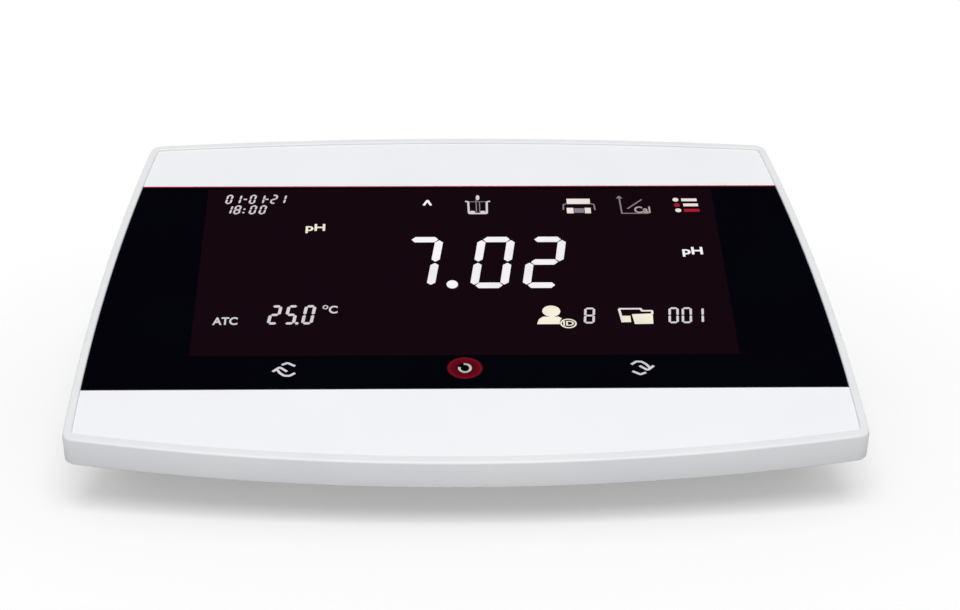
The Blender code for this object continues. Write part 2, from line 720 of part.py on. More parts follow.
def build_keys(face, board_green, sensor_black, light_red):
    """Narrow key board: a light ring round the power key and a gesture sensor on each side."""
    centre = (0.0, KEY_LINE, KEY_BOARD_TOP - BOARD_THICKNESS / 2)
    size = (2 * KEY_BOARD_HALF_WIDTH, KEY_BOARD_DEPTH, BOARD_THICKNESS)
    box("key_board", centre, size, board_green, face)
    low = KEY_BOARD_TOP + GAP
    profile = [(RING_BORE, TRAY_TOP), (RING_BORE, low), (RING_RADIUS, low), (RING_RADIUS, TRAY_TOP)]
    light = turned("power_light_ring", profile, light_red, face)
    light.location = (0.0, KEY_LINE, 0.0)
    for side, sign in (("left", -1), ("right", 1)):
        height = TRAY_TOP - low
        place = (sign * HAND_KEY_OFFSET, KEY_LINE, low + height / 2)
        sensor = box("hand_sensor_" + side, place, (*HAND_SENSOR_SIZE, height), sensor_black, face)
        bevel = sensor.modifiers.new("edges", "BEVEL")
        bevel.width = EDGE_ROUND
        bevel.segments = 1


# ---------------------------------------------------------------- main board
def board_screw_places():
    found = []
    for row, y in zip(("front", "rear"), BOARD_SCREW_YS):
        for side, x, screw_y in mirrored_places([(BOARD_SCREW_X, y)]):
            found.append((row + "_" + side, x, screw_y))
    return found


def build_main_board(face, board_green, chip_black, metal, buzzer_black):
    """The board that reads the electrode and drives the display, hung under the tray."""
    outline = rectangle_ring(MAIN_BOARD_HALF_WIDTH, MAIN_BOARD_FRONT, MAIN_BOARD_REAR, OPENING_RADIUS)
    board = slab("main_board", outline, MAIN_BOARD_TOP, MAIN_BOARD_BACK, board_green, face)
    for name, x, y in board_screw_places():
        profile = through_hole(SMALL_SCREW_RADIUS)
        hole = turned("board_hole_" + name, profile, None, face, SMALL_ROUND_STEPS)
        hole.location = (x, y, MAIN_BOARD_TOP - BOARD_THICKNESS / 2)
        cut(board, hole)
    for name, size, place in (
        ("processor", PROCESSOR_SIZE, PROCESSOR_PLACE),
        ("display_driver", DRIVER_SIZE, DRIVER_PLACE),
    ):
        box(name, (*place, CHIP_TOP - size[2] / 2), size, chip_black, face)
    sound_hole = BUZZER_RADIUS / 6
    low = CHIP_TOP - BUZZER_HEIGHT
    profile = [
        (0.0, low + sound_hole),
        (sound_hole, low + sound_hole),
        (sound_hole, low),
        (BUZZER_RADIUS, low),
        (BUZZER_RADIUS, CHIP_TOP),
        (0.0, CHIP_TOP),
    ]
    buzzer = turned("buzzer", profile, buzzer_black, face)
    buzzer.location = (*BUZZER_PLACE, 0.0)
    build_clock_cell(face, metal, chip_black)


def build_clock_cell(face, metal, chip_black):
    """Coin cell that keeps the clock going, in its cup under the main board."""
    floor = CELL_CUP_WALL
    inside = CELL_RADIUS + GAP
    outside = inside + CELL_CUP_WALL
    cup_low = CHIP_TOP - floor - GAP - CELL_HEIGHT
    profile = [
        (0.0, CHIP_TOP - floor),
        (inside, CHIP_TOP - floor),
        (inside, cup_low),
        (outside, cup_low),
        (outside, CHIP_TOP),
        (0.0, CHIP_TOP),
    ]
    cup = turned("clock_cell_holder", profile, chip_black, face)
    cell_top = CHIP_TOP - floor - GAP
    rounding = CELL_HEIGHT / 8
    cell_profile = [
        (0.0, cell_top - CELL_HEIGHT),
        (CELL_RADIUS - rounding, cell_top - CELL_HEIGHT),
        (CELL_RADIUS, cell_top - CELL_HEIGHT + rounding),
        (CELL_RADIUS, cell_top),
        (0.0, cell_top),
    ]
    cell = turned("clock_cell", cell_profile, metal, face)
    for piece in (cup, cell):
        piece.location = (*CELL_PLACE, 0.0)


# ---------------------------------------------------------------- flat cables
def ribbon_slots():
    clear = 2 * GAP
    return (
        ("display_slot", DISPLAY_RIBBON_X, DISPLAY_RIBBON_Y, DISPLAY_RIBBON_HALF + clear),
        ("key_slot", KEY_RIBBON_X, KEY_LINE, KEY_RIBBON_HALF + clear),
    )


def ribbon(name, path, half_width, x, material, parent):
    """A flat cable: a strip of one thickness that follows a path in the y-z plane."""
    loops = []
    for i, (y, z) in enumerate(path):
        before = Vector(path[max(i - 1, 0)])
        after = Vector(path[min(i + 1, len(path) - 1)])
        along = (after - before).normalized()
        off = Vector((-along.y, along.x)) * RIBBON_THICKNESS / 2
        loops.append(
            [
                (x - half_width, y - off.x, z - off.y),
                (x + half_width, y - off.x, z - off.y),
                (x + half_width, y + off.x, z + off.y),
                (x - half_width, y + off.x, z + off.y),
            ]
        )
    return loft(name, loops, material, parent)


def curved_path(points, steps):
    """A smooth route through hand-set points: one Bezier curve with those points as its controls."""
    path = []
    for i in range(steps + 1):
        t = i / steps
        layer = [Vector(point) for point in points]
        while len(layer) > 1:
            layer = [a.lerp(b, t) for a, b in zip(layer, layer[1:])]
        path.append(tuple(layer[0]))
    return path


def build_ribbons(face, ribbon_white):
    """Flat cables from the display, from the keys and from the rear board to the main board."""
    landing = MAIN_BOARD_TOP + GAP + RIBBON_THICKNESS / 2
    start = TRAY_FLOOR_TOP
    y = DISPLAY_RIBBON_Y
    route = ((y, start), (y, landing), (y - GAP, landing), (y - RIBBON_LANDING, landing))
    path = curved_path(route, 10)
    ribbon("display_ribbon", path, DISPLAY_RIBBON_HALF, DISPLAY_RIBBON_X, ribbon_white, face)
    start = KEY_BOARD_TOP - BOARD_THICKNESS - GAP
    y = KEY_LINE
    board_y = MAIN_BOARD_FRONT + RIBBON_LANDING
    route = ((y, start), (y, landing), ((y + board_y) / 2, landing), (board_y, landing))
    path = curved_path(route, 10)
    ribbon("key_ribbon", path, KEY_RIBBON_HALF, KEY_RIBBON_X, ribbon_white, face)
    board_face = CONNECTOR_BOARD_Y - BOARD_THICKNESS - GAP - RIBBON_THICKNESS / 2
    upper_y = FACE_CENTRE_Y + CONNECTOR_RIBBON_Y
    upper_z = level_height(MAIN_BOARD_BACK - GAP - RIBBON_THICKNESS, upper_y)
    slope = math.tan(FACE_TILT)
    lead = CONNECTOR_RIBBON_LEAD
    route = (
        (upper_y - lead, upper_z - lead * slope),
        (upper_y, upper_z),
        (upper_y + lead, upper_z - lead),
        (board_face, PANEL_ROW_HEIGHT + lead),
        (board_face, PANEL_ROW_HEIGHT),
        (board_face, PANEL_ROW_HEIGHT - lead),
    )
    path = curved_path(route, 14)
    ribbon("connector_ribbon", path, CONNECTOR_RIBBON_HALF, CONNECTOR_RIBBON_X, ribbon_white, None)


# ---------------------------------------------------------------- base housing
def panel_line(level, y):
    """How far up the face a level meets the upright plane at world y."""
    return (y - FACE_CENTRE_Y + level * math.sin(FACE_TILT)) / math.cos(FACE_TILT)


def seat_loop(inset, rear_inset):
    outline = ring(
        inset - FACE_DEPTH / 2, FACE_DEPTH / 2 - rear_inset, FRONT_BOW, REAR_BOW, inset, CORNER_RADIUS
    )
    return [face_to_world(point) for point in at_level(outline, SEAT_LEVEL)]


def ledge_loop(inset, front_inset, panel_y):
    rear_y = panel_line(LEDGE_LEVEL, panel_y)
    outline = ring(front_inset - FACE_DEPTH / 2, rear_y, FRONT_BOW, 0.0, inset, BASE_CORNER)
    return [face_to_world(point) for point in at_level(outline, LEDGE_LEVEL)]


def floor_loop(inset, front_y, panel_y, height):
    cosine = math.cos(FACE_TILT)
    outline = ring(front_y / cosine, (panel_y - FACE_CENTRE_Y) / cosine, FRONT_BOW, 0.0, inset, BASE_CORNER)
    return [(x, FACE_CENTRE_Y + y * cosine, height) for x, y in outline]


def ramp_front_y():
    """Where the front ramp meets the flat underside, behind the front of the seat."""
    seat_y = (RIM_SEAT_INSET - FACE_DEPTH / 2) * math.cos(FACE_TILT) - SEAT_LEVEL * math.sin(FACE_TILT)
    return seat_y + FRONT_RAMP


def ledge_front_inset():
    """The ledge lies on the straight ramp from the seat to the underside."""
    front = RIM_SEAT_INSET - FACE_DEPTH / 2
    low_y = ramp_front_y()
    low_z = FOOT_PROUD - FACE_CENTRE_HEIGHT
    low_level = low_z * math.cos(FACE_TILT) - low_y * math.sin(FACE_TILT)
    low_along = low_y * math.cos(FACE_TILT) + low_z * math.sin(FACE_TILT)
    share = LEDGE_DROP / (SEAT_LEVEL - low_level)
    return RIM_SEAT_INSET + share * (low_along - front)


def base_outer():
    front_y = ramp_front_y()
    edge_inset = FLOOR_INSET + FLOOR_EDGE
    return [
        floor_loop(edge_inset, front_y + FLOOR_EDGE, PANEL_Y - FLOOR_EDGE, FOOT_PROUD),
        floor_loop(FLOOR_INSET, front_y - 2 * FLOOR_EDGE, PANEL_Y, FOOT_PROUD + FLOOR_EDGE),
        ledge_loop(LEDGE_INSET, ledge_front_inset(), PANEL_Y),
        seat_loop(RIM_SEAT_INSET, RIM_SEAT_INSET),
    ]


def base_cavity():
    """The hollow, carried up past the seat so that its top stays open."""
    wall = BASE_WALL
    floor_height = FOOT_PROUD + wall
    inner_panel = PANEL_Y - wall
    rim = seat_loop(RIM_SEAT_INSET + RIM_SEAT_WIDTH, RIM_SEAT_INSET + REAR_SEAT_WIDTH)
    above = [(x, y, z + 2 * wall) for x, y, z in rim]
    loops = [
        floor_loop(FLOOR_INSET + wall, ramp_front_y() + wall, inner_panel, floor_height),
        ledge_loop(LEDGE_INSET + wall, ledge_front_inset() + 2 * wall, inner_panel),
        rim,
        above,
    ]
    return loft("base_cavity", loops)


def build_base_housing(grey):
    """Moulded tub with screw wells, foot seats, a label recess and the jack panel.

    Its walls meet so many cutters that the exact solver leaves open edges, so these use the manifold one.
    """
    base = loft("base_housing", base_outer(), grey)
    cavity = base_cavity()
    well_outer = WELL_RADIUS + WELL_WALL
    for name, x, y in housing_screw_places():
        top = boss_joint_height(y) - GAP
        profile = [(0.0, -top), (well_outer, -top), (well_outer, top), (0.0, top)]
        post = turned("well_" + name, profile)
        post.location = (x, y, 0.0)
        cut(cavity, post, "MANIFOLD")
    cut(base, cavity, "MANIFOLD")
    for name, x, y in housing_screw_places():
        web_low = boss_joint_height(y) - GAP - BOSS_WEB
        profile = [
            (0.0, -GAP),
            (WELL_RADIUS, -GAP),
            (WELL_RADIUS, web_low),
            (SCREW_RADIUS + GAP, web_low),
            (SCREW_RADIUS + GAP, web_low + BOSS_WEB + GAP),
            (0.0, web_low + BOSS_WEB + GAP),
        ]
        bore = turned("well_bore_" + name, profile, steps=SMALL_ROUND_STEPS)
        bore.location = (x, y, 0.0)
        cut(base, bore, "MANIFOLD")
    for name, x, y in foot_places():
        radius = FOOT_RADIUS + GAP
        high = FOOT_PROUD + FOOT_SEAT_DEPTH
        seat = turned("foot_seat_" + name, [(0.0, 0.0), (radius, 0.0), (radius, high), (0.0, high)])
        seat.location = (x, y, 0.0)
        cut(base, seat, "MANIFOLD")
    label_centre = (0.0, FACE_CENTRE_Y + LABEL_Y, FOOT_PROUD)
    size = (LABEL_WIDTH + 2 * GAP, LABEL_DEPTH + 2 * GAP, 2 * LABEL_RECESS)
    cut(base, box("label_recess", label_centre, size), "MANIFOLD")
    for cutter in jack_cutters():
        cut(base, cutter, "MANIFOLD")
    return base


def build_base_trim(rubber, label_silver):
    """Rubber feet and the bare rating plate."""
    for name, x, y in foot_places():
        top = FOOT_PROUD + FOOT_SEAT_DEPTH - GAP
        profile = [
            (0.0, 0.0),
            (FOOT_RADIUS - FOOT_ROUND, 0.0),
            (FOOT_RADIUS, FOOT_ROUND),
            (FOOT_RADIUS, top),
            (0.0, top),
        ]
        foot = turned("foot_" + name, profile, rubber)
        foot.location = (x, y, 0.0)
    middle = FOOT_PROUD + LABEL_RECESS - GAP - LABEL_THICKNESS / 2
    centre = (0.0, FACE_CENTRE_Y + LABEL_Y, middle)
    box("rating_plate", centre, (LABEL_WIDTH, LABEL_DEPTH, LABEL_THICKNESS), label_silver)


def build_seal(face, seal_grey):
    outer = RIM_SEAT_INSET + GAP
    inner = BAND_DRAFT + BAND_WALL
    loops = [
        at_level(body_ring(outer), SEAL_TOP),
        at_level(body_ring(inner), SEAL_TOP),
        at_level(body_ring(inner), SEAL_TOP - SEAL_THICKNESS),
        at_level(body_ring(outer), SEAL_TOP - SEAL_THICKNESS),
    ]
    loft("housing_seal", loops, seal_grey, face, closed=True)


# ---------------------------------------------------------------- screws
def screw(name, radius, head_radius, head_height, length, material, parent=None):
    """Pan-head screw that points up, its head's bearing face at local z = 0."""
    rounding = head_height * 0.4
    socket_radius = head_radius * 0.35
    socket_depth = head_height * 0.5
    profile = [
        (0.0, -head_height + socket_depth),
        (socket_radius, -head_height + socket_depth),
        (socket_radius, -head_height),
        (head_radius - rounding, -head_height),
        (head_radius, -head_height + rounding),
        (head_radius, 0.0),
        (radius, 0.0),
        (radius, length - radius),
        (0.0, length),
    ]
    return turned(name, profile, material, parent, SMALL_ROUND_STEPS)


def build_screws(face, steel):
    for name, x, y in housing_screw_places():
        length = BOSS_WEB + GAP + SCREW_GRIP
        made = screw(
            "housing_screw_" + name, SCREW_RADIUS, SCREW_HEAD_RADIUS, SCREW_HEAD_HEIGHT, length, steel
        )
        made.location = (x, y, boss_joint_height(y) - GAP - BOSS_WEB - GAP)
    for name, x, y in tray_ear_places():
        length = TRAY_EAR_THICKNESS + GAP + SMALL_SCREW_GRIP
        made = small_screw("tray_screw_" + name, length, steel, face)
        made.location = (x, y, TRAY_EAR_TOP - TRAY_EAR_THICKNESS - GAP)
    for name, x, y in board_screw_places():
        length = BOARD_THICKNESS + GAP + SMALL_SCREW_GRIP
        made = small_screw("board_screw_" + name, length, steel, face)
        made.location = (x, y, MAIN_BOARD_BACK - GAP)


def small_screw(name, length, material, parent):
    return screw(name, SMALL_SCREW_RADIUS, SMALL_HEAD_RADIUS, SMALL_HEAD_HEIGHT, length, material, parent)


# ---------------------------------------------------------------- rear jacks
def to_panel(piece, x):
    """Turns local Z to the rear and sets its zero on the jack panel's outer face."""
    piece.location = (x, PANEL_Y, PANEL_ROW_HEIGHT)
    piece.rotation_euler = (math.radians(-90.0), 0.0, 0.0)
    return piece


def panel_box(name, x, size, start, end, material=None, shift=0.0):
    """A box on the panel, its width and height given and its length from start to end."""
    loops = []
    for z in (start, end):
        loop = []
        for i, j in ((-1, -1), (1, -1), (1, 1), (-1, 1)):
            loop.append((i * size[0] / 2, j * size[1] / 2 - shift, z))
        loops.append(loop)
    return to_panel(loft(name, loops, material), x)


def round_jack(name, x, body_radius, nose_radius, nose_length, bore_radius, bore_depth, material):
    """A round panel jack: a body behind the panel, a nose through it and a blind bore."""
    profile = [
        (0.0, JACK_START),
        (body_radius, JACK_START),
        (body_radius, JACK_SHOULDER),
        (nose_radius, JACK_SHOULDER),
        (nose_radius, nose_length),
        (bore_radius, nose_length),
        (bore_radius, nose_length - bore_depth),
        (0.0, nose_length - bore_depth),
    ]
    return to_panel(turned(name, profile, material), x)


def build_ph_jack(nickel, teflon, gold):
    """Bayonet jack of the electrode: shell with two lugs, insulator, centre contact and panel nut."""
    jack = round_jack(
        "ph_jack", PH_JACK_X, PH_BODY_RADIUS, BARREL_RADIUS, BARREL_LENGTH, BARREL_BORE, BARREL_LENGTH, nickel
    )
    for side, sign in (("right", 1), ("left", -1)):
        reach = LUG_REACH - BARREL_RADIUS
        root = (BARREL_RADIUS - BARREL_BORE) * 0.6
        profile = [(0.0, -root), (LUG_RADIUS, -root), (LUG_RADIUS, reach), (0.0, reach)]
        lug = turned("lug_" + side, profile, steps=SMALL_ROUND_STEPS)
        lug.location = (PH_JACK_X + sign * BARREL_RADIUS, PANEL_Y + LUG_FROM_PANEL, PANEL_ROW_HEIGHT)
        lug.rotation_euler = (0.0, sign * math.radians(90.0), 0.0)
        join(jack, lug)
    profile = [
        (0.0, GAP),
        (BARREL_BORE - GAP, GAP),
        (BARREL_BORE - GAP, INSULATOR_BASE),
        (INSULATOR_RADIUS, INSULATOR_BASE),
        (INSULATOR_RADIUS, INSULATOR_END),
        (CONTACT_RADIUS + GAP, INSULATOR_END),
        (CONTACT_RADIUS + GAP, CONTACT_START - GAP),
        (0.0, CONTACT_START - GAP),
    ]
    to_panel(turned("ph_jack_insulator", profile, teflon, steps=SMALL_ROUND_STEPS), PH_JACK_X)
    profile = [
        (0.0, CONTACT_START),
        (CONTACT_RADIUS, CONTACT_START),
        (CONTACT_RADIUS, INSULATOR_END),
        (PIN_RADIUS + GAP, INSULATOR_END),
        (PIN_RADIUS + GAP, PIN_END - GAP),
        (0.0, PIN_END - GAP),
    ]
    to_panel(turned("ph_jack_contact", profile, gold, steps=SMALL_ROUND_STEPS), PH_JACK_X)
    corner_radius = JACK_NUT_ACROSS / 2 / math.cos(math.radians(30.0))
    end = GAP + JACK_NUT_THICKNESS
    profile = [(0.0, GAP), (corner_radius, GAP), (corner_radius, end), (0.0, end)]
    nut = to_panel(turned("ph_jack_nut", profile, nickel, steps=6), PH_JACK_X)
    bore = BARREL_RADIUS + GAP
    profile = [(0.0, -GAP), (bore, -GAP), (bore, end + GAP), (0.0, end + GAP)]
    cut(nut, to_panel(turned("nut_bore", profile), PH_JACK_X))


def build_shorting_cap(nickel):
    """Cap that shorts the electrode jack: a turned plug, and a bayonet sleeve that turns on it."""
    tube_radius = BARREL_BORE - GAP
    tube_bore = tube_radius - CAP_TUBE_WALL
    flange_radius = SLEEVE_RADIUS - SLEEVE_WALL - GAP
    flange_end = FLANGE_START + FLANGE_THICKNESS
    rounding = EDGE_ROUND
    profile = [
        (0.0, PIN_END),
        (PIN_RADIUS, PIN_END),
        (PIN_RADIUS, FLANGE_START),
        (tube_bore, FLANGE_START),
        (tube_bore, CAP_TUBE_END),
        (tube_radius, CAP_TUBE_END),
        (tube_radius, FLANGE_START),
        (flange_radius, FLANGE_START),
        (flange_radius, flange_end),
        (TAIL_RADIUS, flange_end),
        (TAIL_RADIUS, CAP_END - rounding),
        (TAIL_RADIUS - rounding, CAP_END),
        (0.0, CAP_END),
    ]
    to_panel(turned("shorting_plug", profile, nickel), PH_JACK_X)
    bore = SLEEVE_RADIUS - SLEEVE_WALL
    lip_bore = TAIL_RADIUS + GAP
    sleeve_end = SLEEVE_LIP_START + SLEEVE_LIP
    edge = EDGE_ROUND
    profile = [
        (bore, SLEEVE_START),
        (SLEEVE_RADIUS - edge, SLEEVE_START),
        (SLEEVE_RADIUS, SLEEVE_START + edge),
        (SLEEVE_RADIUS, sleeve_end - edge),
        (SLEEVE_RADIUS - edge, sleeve_end),
        (lip_bore, sleeve_end),
        (lip_bore, SLEEVE_LIP_START),
        (bore, SLEEVE_LIP_START),
    ]
    sleeve = to_panel(turned("bayonet_sleeve", profile, nickel), PH_JACK_X)
    for side, start in (("right", 0.0), ("left", math.pi)):
        cut(sleeve, to_panel(bayonet_slot("slot_" + side, start), PH_JACK_X))
        cut(sleeve, to_panel(bayonet_entry("entry_" + side, start - UNLOCK_TURN), PH_JACK_X))


def slot_section(angle, z, half_width):
    inner = BARREL_RADIUS + GAP / 2
    outer = SLEEVE_RADIUS + GAP
    section = []
    for radius, rise in ((inner, -1), (outer, -1), (outer, 1), (inner, 1)):
        section.append((radius * math.cos(angle), radius * math.sin(angle), z + rise * half_width))
    return section


def bayonet_slot(name, start):
    """The ramp that a lug runs in while the sleeve turns and draws back."""
    half_width = LUG_RADIUS + GAP
    end_room = half_width / BARREL_RADIUS
    steps = 10
    sections = [slot_section(start + end_room, LUG_FROM_PANEL, half_width)]
    for i in range(steps + 1):
        share = i / steps
        angle = start - share * UNLOCK_TURN
        sections.append(slot_section(angle, LUG_FROM_PANEL - share * UNLOCK_TRAVEL, half_width))
    last = LUG_FROM_PANEL - UNLOCK_TRAVEL
    sections.append(slot_section(start - UNLOCK_TURN - end_room, last, half_width))
    return loft(name, sections)


def bayonet_entry(name, angle):
    """The straight mouth through which the lug comes in."""
    half_width = LUG_RADIUS + GAP
    end_room = half_width / BARREL_RADIUS
    last = LUG_FROM_PANEL - UNLOCK_TRAVEL
    low = SLEEVE_START - GAP
    middle = (last + low) / 2
    half_length = (last - low) / 2
    turns = (-end_room, 0.0, end_room)
    return loft(name, [slot_section(angle + turn, middle, half_length) for turn in turns])


def build_small_jacks(nickel, black):
    """Reference, temperature and stirrer jacks, all round."""
    depth = SMALL_BORE_DEPTH
    sizes = (REFERENCE_BODY, REFERENCE_NOSE, REFERENCE_LENGTH, REFERENCE_BORE, depth)
    round_jack("reference_jack", REFERENCE_JACK_X, *sizes, black)
    sizes = (TEMPERATURE_BODY, TEMPERATURE_NOSE, TEMPERATURE_LENGTH, TEMPERATURE_BORE, depth)
    round_jack("temperature_jack", TEMPERATURE_JACK_X, *sizes, nickel)
    sizes = (STIRRER_BODY, STIRRER_NOSE, STIRRER_LENGTH, STIRRER_BORE, depth)
    round_jack("stirrer_jack", STIRRER_JACK_X, *sizes, black)


def build_usb_port(name, x, size, cavity, tongue, tongue_shift, steel):
    """A square port: folded shell with a hollow mouth and a tongue in it."""
    port = panel_box(name, x, size, JACK_START, PORT_END, steel)
    cut(port, panel_box(name + "_mouth", x, cavity, PORT_END - PORT_DEPTH, PORT_END + GAP))
    tongue_start = PORT_END - PORT_DEPTH - GAP
    tongue_end = PORT_END - TONGUE_SHORT
    join(port, panel_box(name + "_tongue", x, tongue, tongue_start, tongue_end, shift=tongue_shift))


def build_ports(steel, black):
    build_usb_port("usb_a_port", USB_A_X, USB_A_SIZE, USB_A_MOUTH, USB_A_TONGUE, USB_A_TONGUE_SHIFT, steel)
    build_usb_port("usb_b_port", USB_B_X, USB_B_SIZE, USB_B_MOUTH, USB_B_TONGUE, 0.0, steel)
    inlet = panel_box("power_inlet", POWER_INLET_X, INLET_SIZE, JACK_START, PORT_END, black)
    low = PORT_END - PORT_DEPTH
    high = PORT_END + GAP
    mouth = [(INLET_PIN, low), (INLET_BORE, low), (INLET_BORE, high), (INLET_PIN, high)]
    cut(inlet, to_panel(turned("inlet_mouth", mouth), POWER_INLET_X))


def serial_outline(clearance=0.0):
    return ring(
        -SERIAL_HALF_HEIGHT - clearance,
        SERIAL_HALF_HEIGHT + clearance,
        0.0,
        0.0,
        0.0,
        SERIAL_CORNER,
        half_width=lambda y: SERIAL_HALF_WIDTH + clearance - SERIAL_SIDE_SLOPE * y,
    )


def build_serial_port(steel, nickel):
    """Nine-way serial socket with its flange, and the two jackscrews that hold it to the panel."""
    outline = serial_outline()
    shell = loft("serial_port", [at_level(outline, JACK_START), at_level(outline, SERIAL_SHELL_END)], steel)
    port = to_panel(shell, SERIAL_PORT_X)
    flange_end = GAP + SERIAL_PLATE[2]
    join(port, panel_box("serial_flange", SERIAL_PORT_X, SERIAL_PLATE, GAP, flange_end))
    for side, sign in (("right", 1), ("left", -1)):
        x = SERIAL_PORT_X + sign * JACKSCREW_OFFSET
        hole = JACKSCREW_SHAFT + GAP
        profile = [(0.0, -GAP), (hole, -GAP), (hole, 2 * flange_end), (0.0, 2 * flange_end)]
        cut(port, to_panel(turned("flange_hole_" + side, profile, steps=SMALL_ROUND_STEPS), x))
        head_start = flange_end + GAP
        head_end = head_start + JACKSCREW_HEAD
        low = JACK_SHOULDER - JACKSCREW_REACH
        profile = [
            (0.0, low),
            (JACKSCREW_SHAFT, low),
            (JACKSCREW_SHAFT, head_start),
            (JACKSCREW_HEX, head_start),
            (JACKSCREW_HEX, head_end),
            (JACKSCREW_THREAD, head_end),
            (JACKSCREW_THREAD, head_start),
            (0.0, head_start),
        ]
        to_panel(turned("serial_jackscrew_" + side, profile, nickel, steps=6), x)


def jack_cutters():
    """The holes of the jack panel, each its jack's nose and a clearance wide."""
    cutters = []
    low = -2 * BASE_WALL
    high = BASE_WALL
    round_holes = (
        ("ph_hole", PH_JACK_X, BARREL_RADIUS),
        ("reference_hole", REFERENCE_JACK_X, REFERENCE_NOSE),
        ("temperature_hole", TEMPERATURE_JACK_X, TEMPERATURE_NOSE),
        ("stirrer_hole", STIRRER_JACK_X, STIRRER_NOSE),
        ("jackscrew_hole_right", SERIAL_PORT_X + JACKSCREW_OFFSET, JACKSCREW_SHAFT),
        ("jackscrew_hole_left", SERIAL_PORT_X - JACKSCREW_OFFSET, JACKSCREW_SHAFT),
    )
    for name, x, radius in round_holes:
        hole = radius + GAP
        profile = [(0.0, low), (hole, low), (hole, high), (0.0, high)]
        cutters.append(to_panel(turned(name, profile), x))
    for name, x, size in (
        ("usb_a_hole", USB_A_X, USB_A_SIZE),
        ("usb_b_hole", USB_B_X, USB_B_SIZE),
        ("inlet_hole", POWER_INLET_X, INLET_SIZE),
    ):
        clear_size = (size[0] + 2 * GAP, size[1] + 2 * GAP)
        cutters.append(panel_box(name, x, clear_size, low, high))
    outline = serial_outline(GAP)
    shell = loft("serial_hole", [at_level(outline, low), at_level(outline, high)])
    cutters.append(to_panel(shell, SERIAL_PORT_X))
    return cutters


def build_connector_board(board_green, steel):
    """Upright board that carries the jacks, with a shield can over the electrode amplifier."""
    centre = (0.0, CONNECTOR_BOARD_Y - BOARD_THICKNESS / 2, PANEL_ROW_HEIGHT)
    size = (CONNECTOR_BOARD_SIZE[0], BOARD_THICKNESS, CONNECTOR_BOARD_SIZE[1])
    board = box("connector_board", centre, size, board_green)
    for side, sign in (("right", 1), ("left", -1)):
        x = SERIAL_PORT_X + sign * JACKSCREW_OFFSET
        hole = JACKSCREW_SHAFT + GAP
        low = JACK_START - 2 * BOARD_THICKNESS
        profile = [(0.0, low), (hole, low), (hole, JACK_START), (0.0, JACK_START)]
        drill = turned("board_jackscrew_hole_" + side, profile, steps=SMALL_ROUND_STEPS)
        cut(board, to_panel(drill, x))
    shield_face = CONNECTOR_BOARD_Y - BOARD_THICKNESS - GAP
    x = PH_JACK_X + SHIELD_SHIFT
    shield = box("input_shield", (x, shield_face - SHIELD_SIZE[1] / 2, PANEL_ROW_HEIGHT), SHIELD_SIZE, steel)
    hollow = (SHIELD_SIZE[0] - 2 * SHIELD_WALL, SHIELD_SIZE[1], SHIELD_SIZE[2] - 2 * SHIELD_WALL)
    hollow_centre = (x, shield_face - SHIELD_SIZE[1] / 2 + SHIELD_WALL, PANEL_ROW_HEIGHT)
    cut(shield, box("shield_hollow", hollow_centre, hollow))


# ---------------------------------------------------------------- the whole meter
def build_meter():
    clear_scene()
    white = make_material("white moulded plastic", (0.86, 0.88, 0.90), 0.35)
    gloss_white = make_material("gloss white face", (0.90, 0.91, 0.93), 0.15)
    grey = make_material("light grey moulded plastic", (0.72, 0.73, 0.75), 0.45)
    black_glass = make_material("black display lens", (0.003, 0.003, 0.006), 0.06)
    film = make_material("touch film", (0.30, 0.32, 0.34), 0.3)
    glass = make_material("display glass", (0.03, 0.01, 0.02), 0.1)
    frost = make_material("light guide", (0.80, 0.80, 0.78), 0.5)
    black = make_material("black moulded plastic", (0.02, 0.02, 0.02), 0.5)
    green = make_material("green circuit board", (0.02, 0.18, 0.07), 0.4)
    chip = make_material("chip casing", (0.03, 0.03, 0.03), 0.45)
    red = make_material("red light guide", (0.45, 0.01, 0.02), 0.3)
    ribbon_white = make_material("flat cable", (0.75, 0.75, 0.72), 0.5)
    steel = make_material("tinned steel", (0.60, 0.60, 0.60), 0.35, 1.0)
    nickel = make_material("nickel plate", (0.70, 0.68, 0.64), 0.25, 1.0)
    gold = make_material("gilt contact", (0.80, 0.60, 0.25), 0.3, 1.0)
    teflon = make_material("white insulator", (0.85, 0.85, 0.83), 0.4)
    rubber = make_material("black rubber", (0.03, 0.03, 0.03), 0.8)
    seal_grey = make_material("grey seal", (0.15, 0.15, 0.16), 0.7)
    label = make_material("bare rating plate", (0.65, 0.66, 0.68), 0.4)
    face = bpy.data.objects.new("face_frame", None)
    bpy.context.scene.collection.objects.link(face)
    face.location = (0.0, FACE_CENTRE_Y, FACE_CENTRE_HEIGHT)
    face.rotation_euler = (FACE_TILT, 0.0, 0.0)
    build_upper_housing(face, white)
    build_face_sheets(face, gloss_white, black_glass)
    build_display(face, film, glass, frost, black)
    build_keys(face, green, chip, red)
    build_main_board(face, green, chip, steel, black)
    build_ribbons(face, ribbon_white)
    build_seal(face, seal_grey)
    build_base_housing(grey)
    build_base_trim(rubber, label)
    build_screws(face, steel)
    build_connector_board(green, steel)
    build_ph_jack(nickel, teflon, gold)
    build_shorting_cap(nickel)
    build_small_jacks(nickel, black)
    build_ports(steel, black)
    build_serial_port(steel, nickel)


build_meter()
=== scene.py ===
"""The looks of a benchtop pH meter, in the order in which the meter is put together.

X runs to the right, Y to the rear and Z up, in metres. The sloping face has its own frame: there x is
across, y is up the slope and z is out of the face, with the crest of the rim at z = 0.
"""

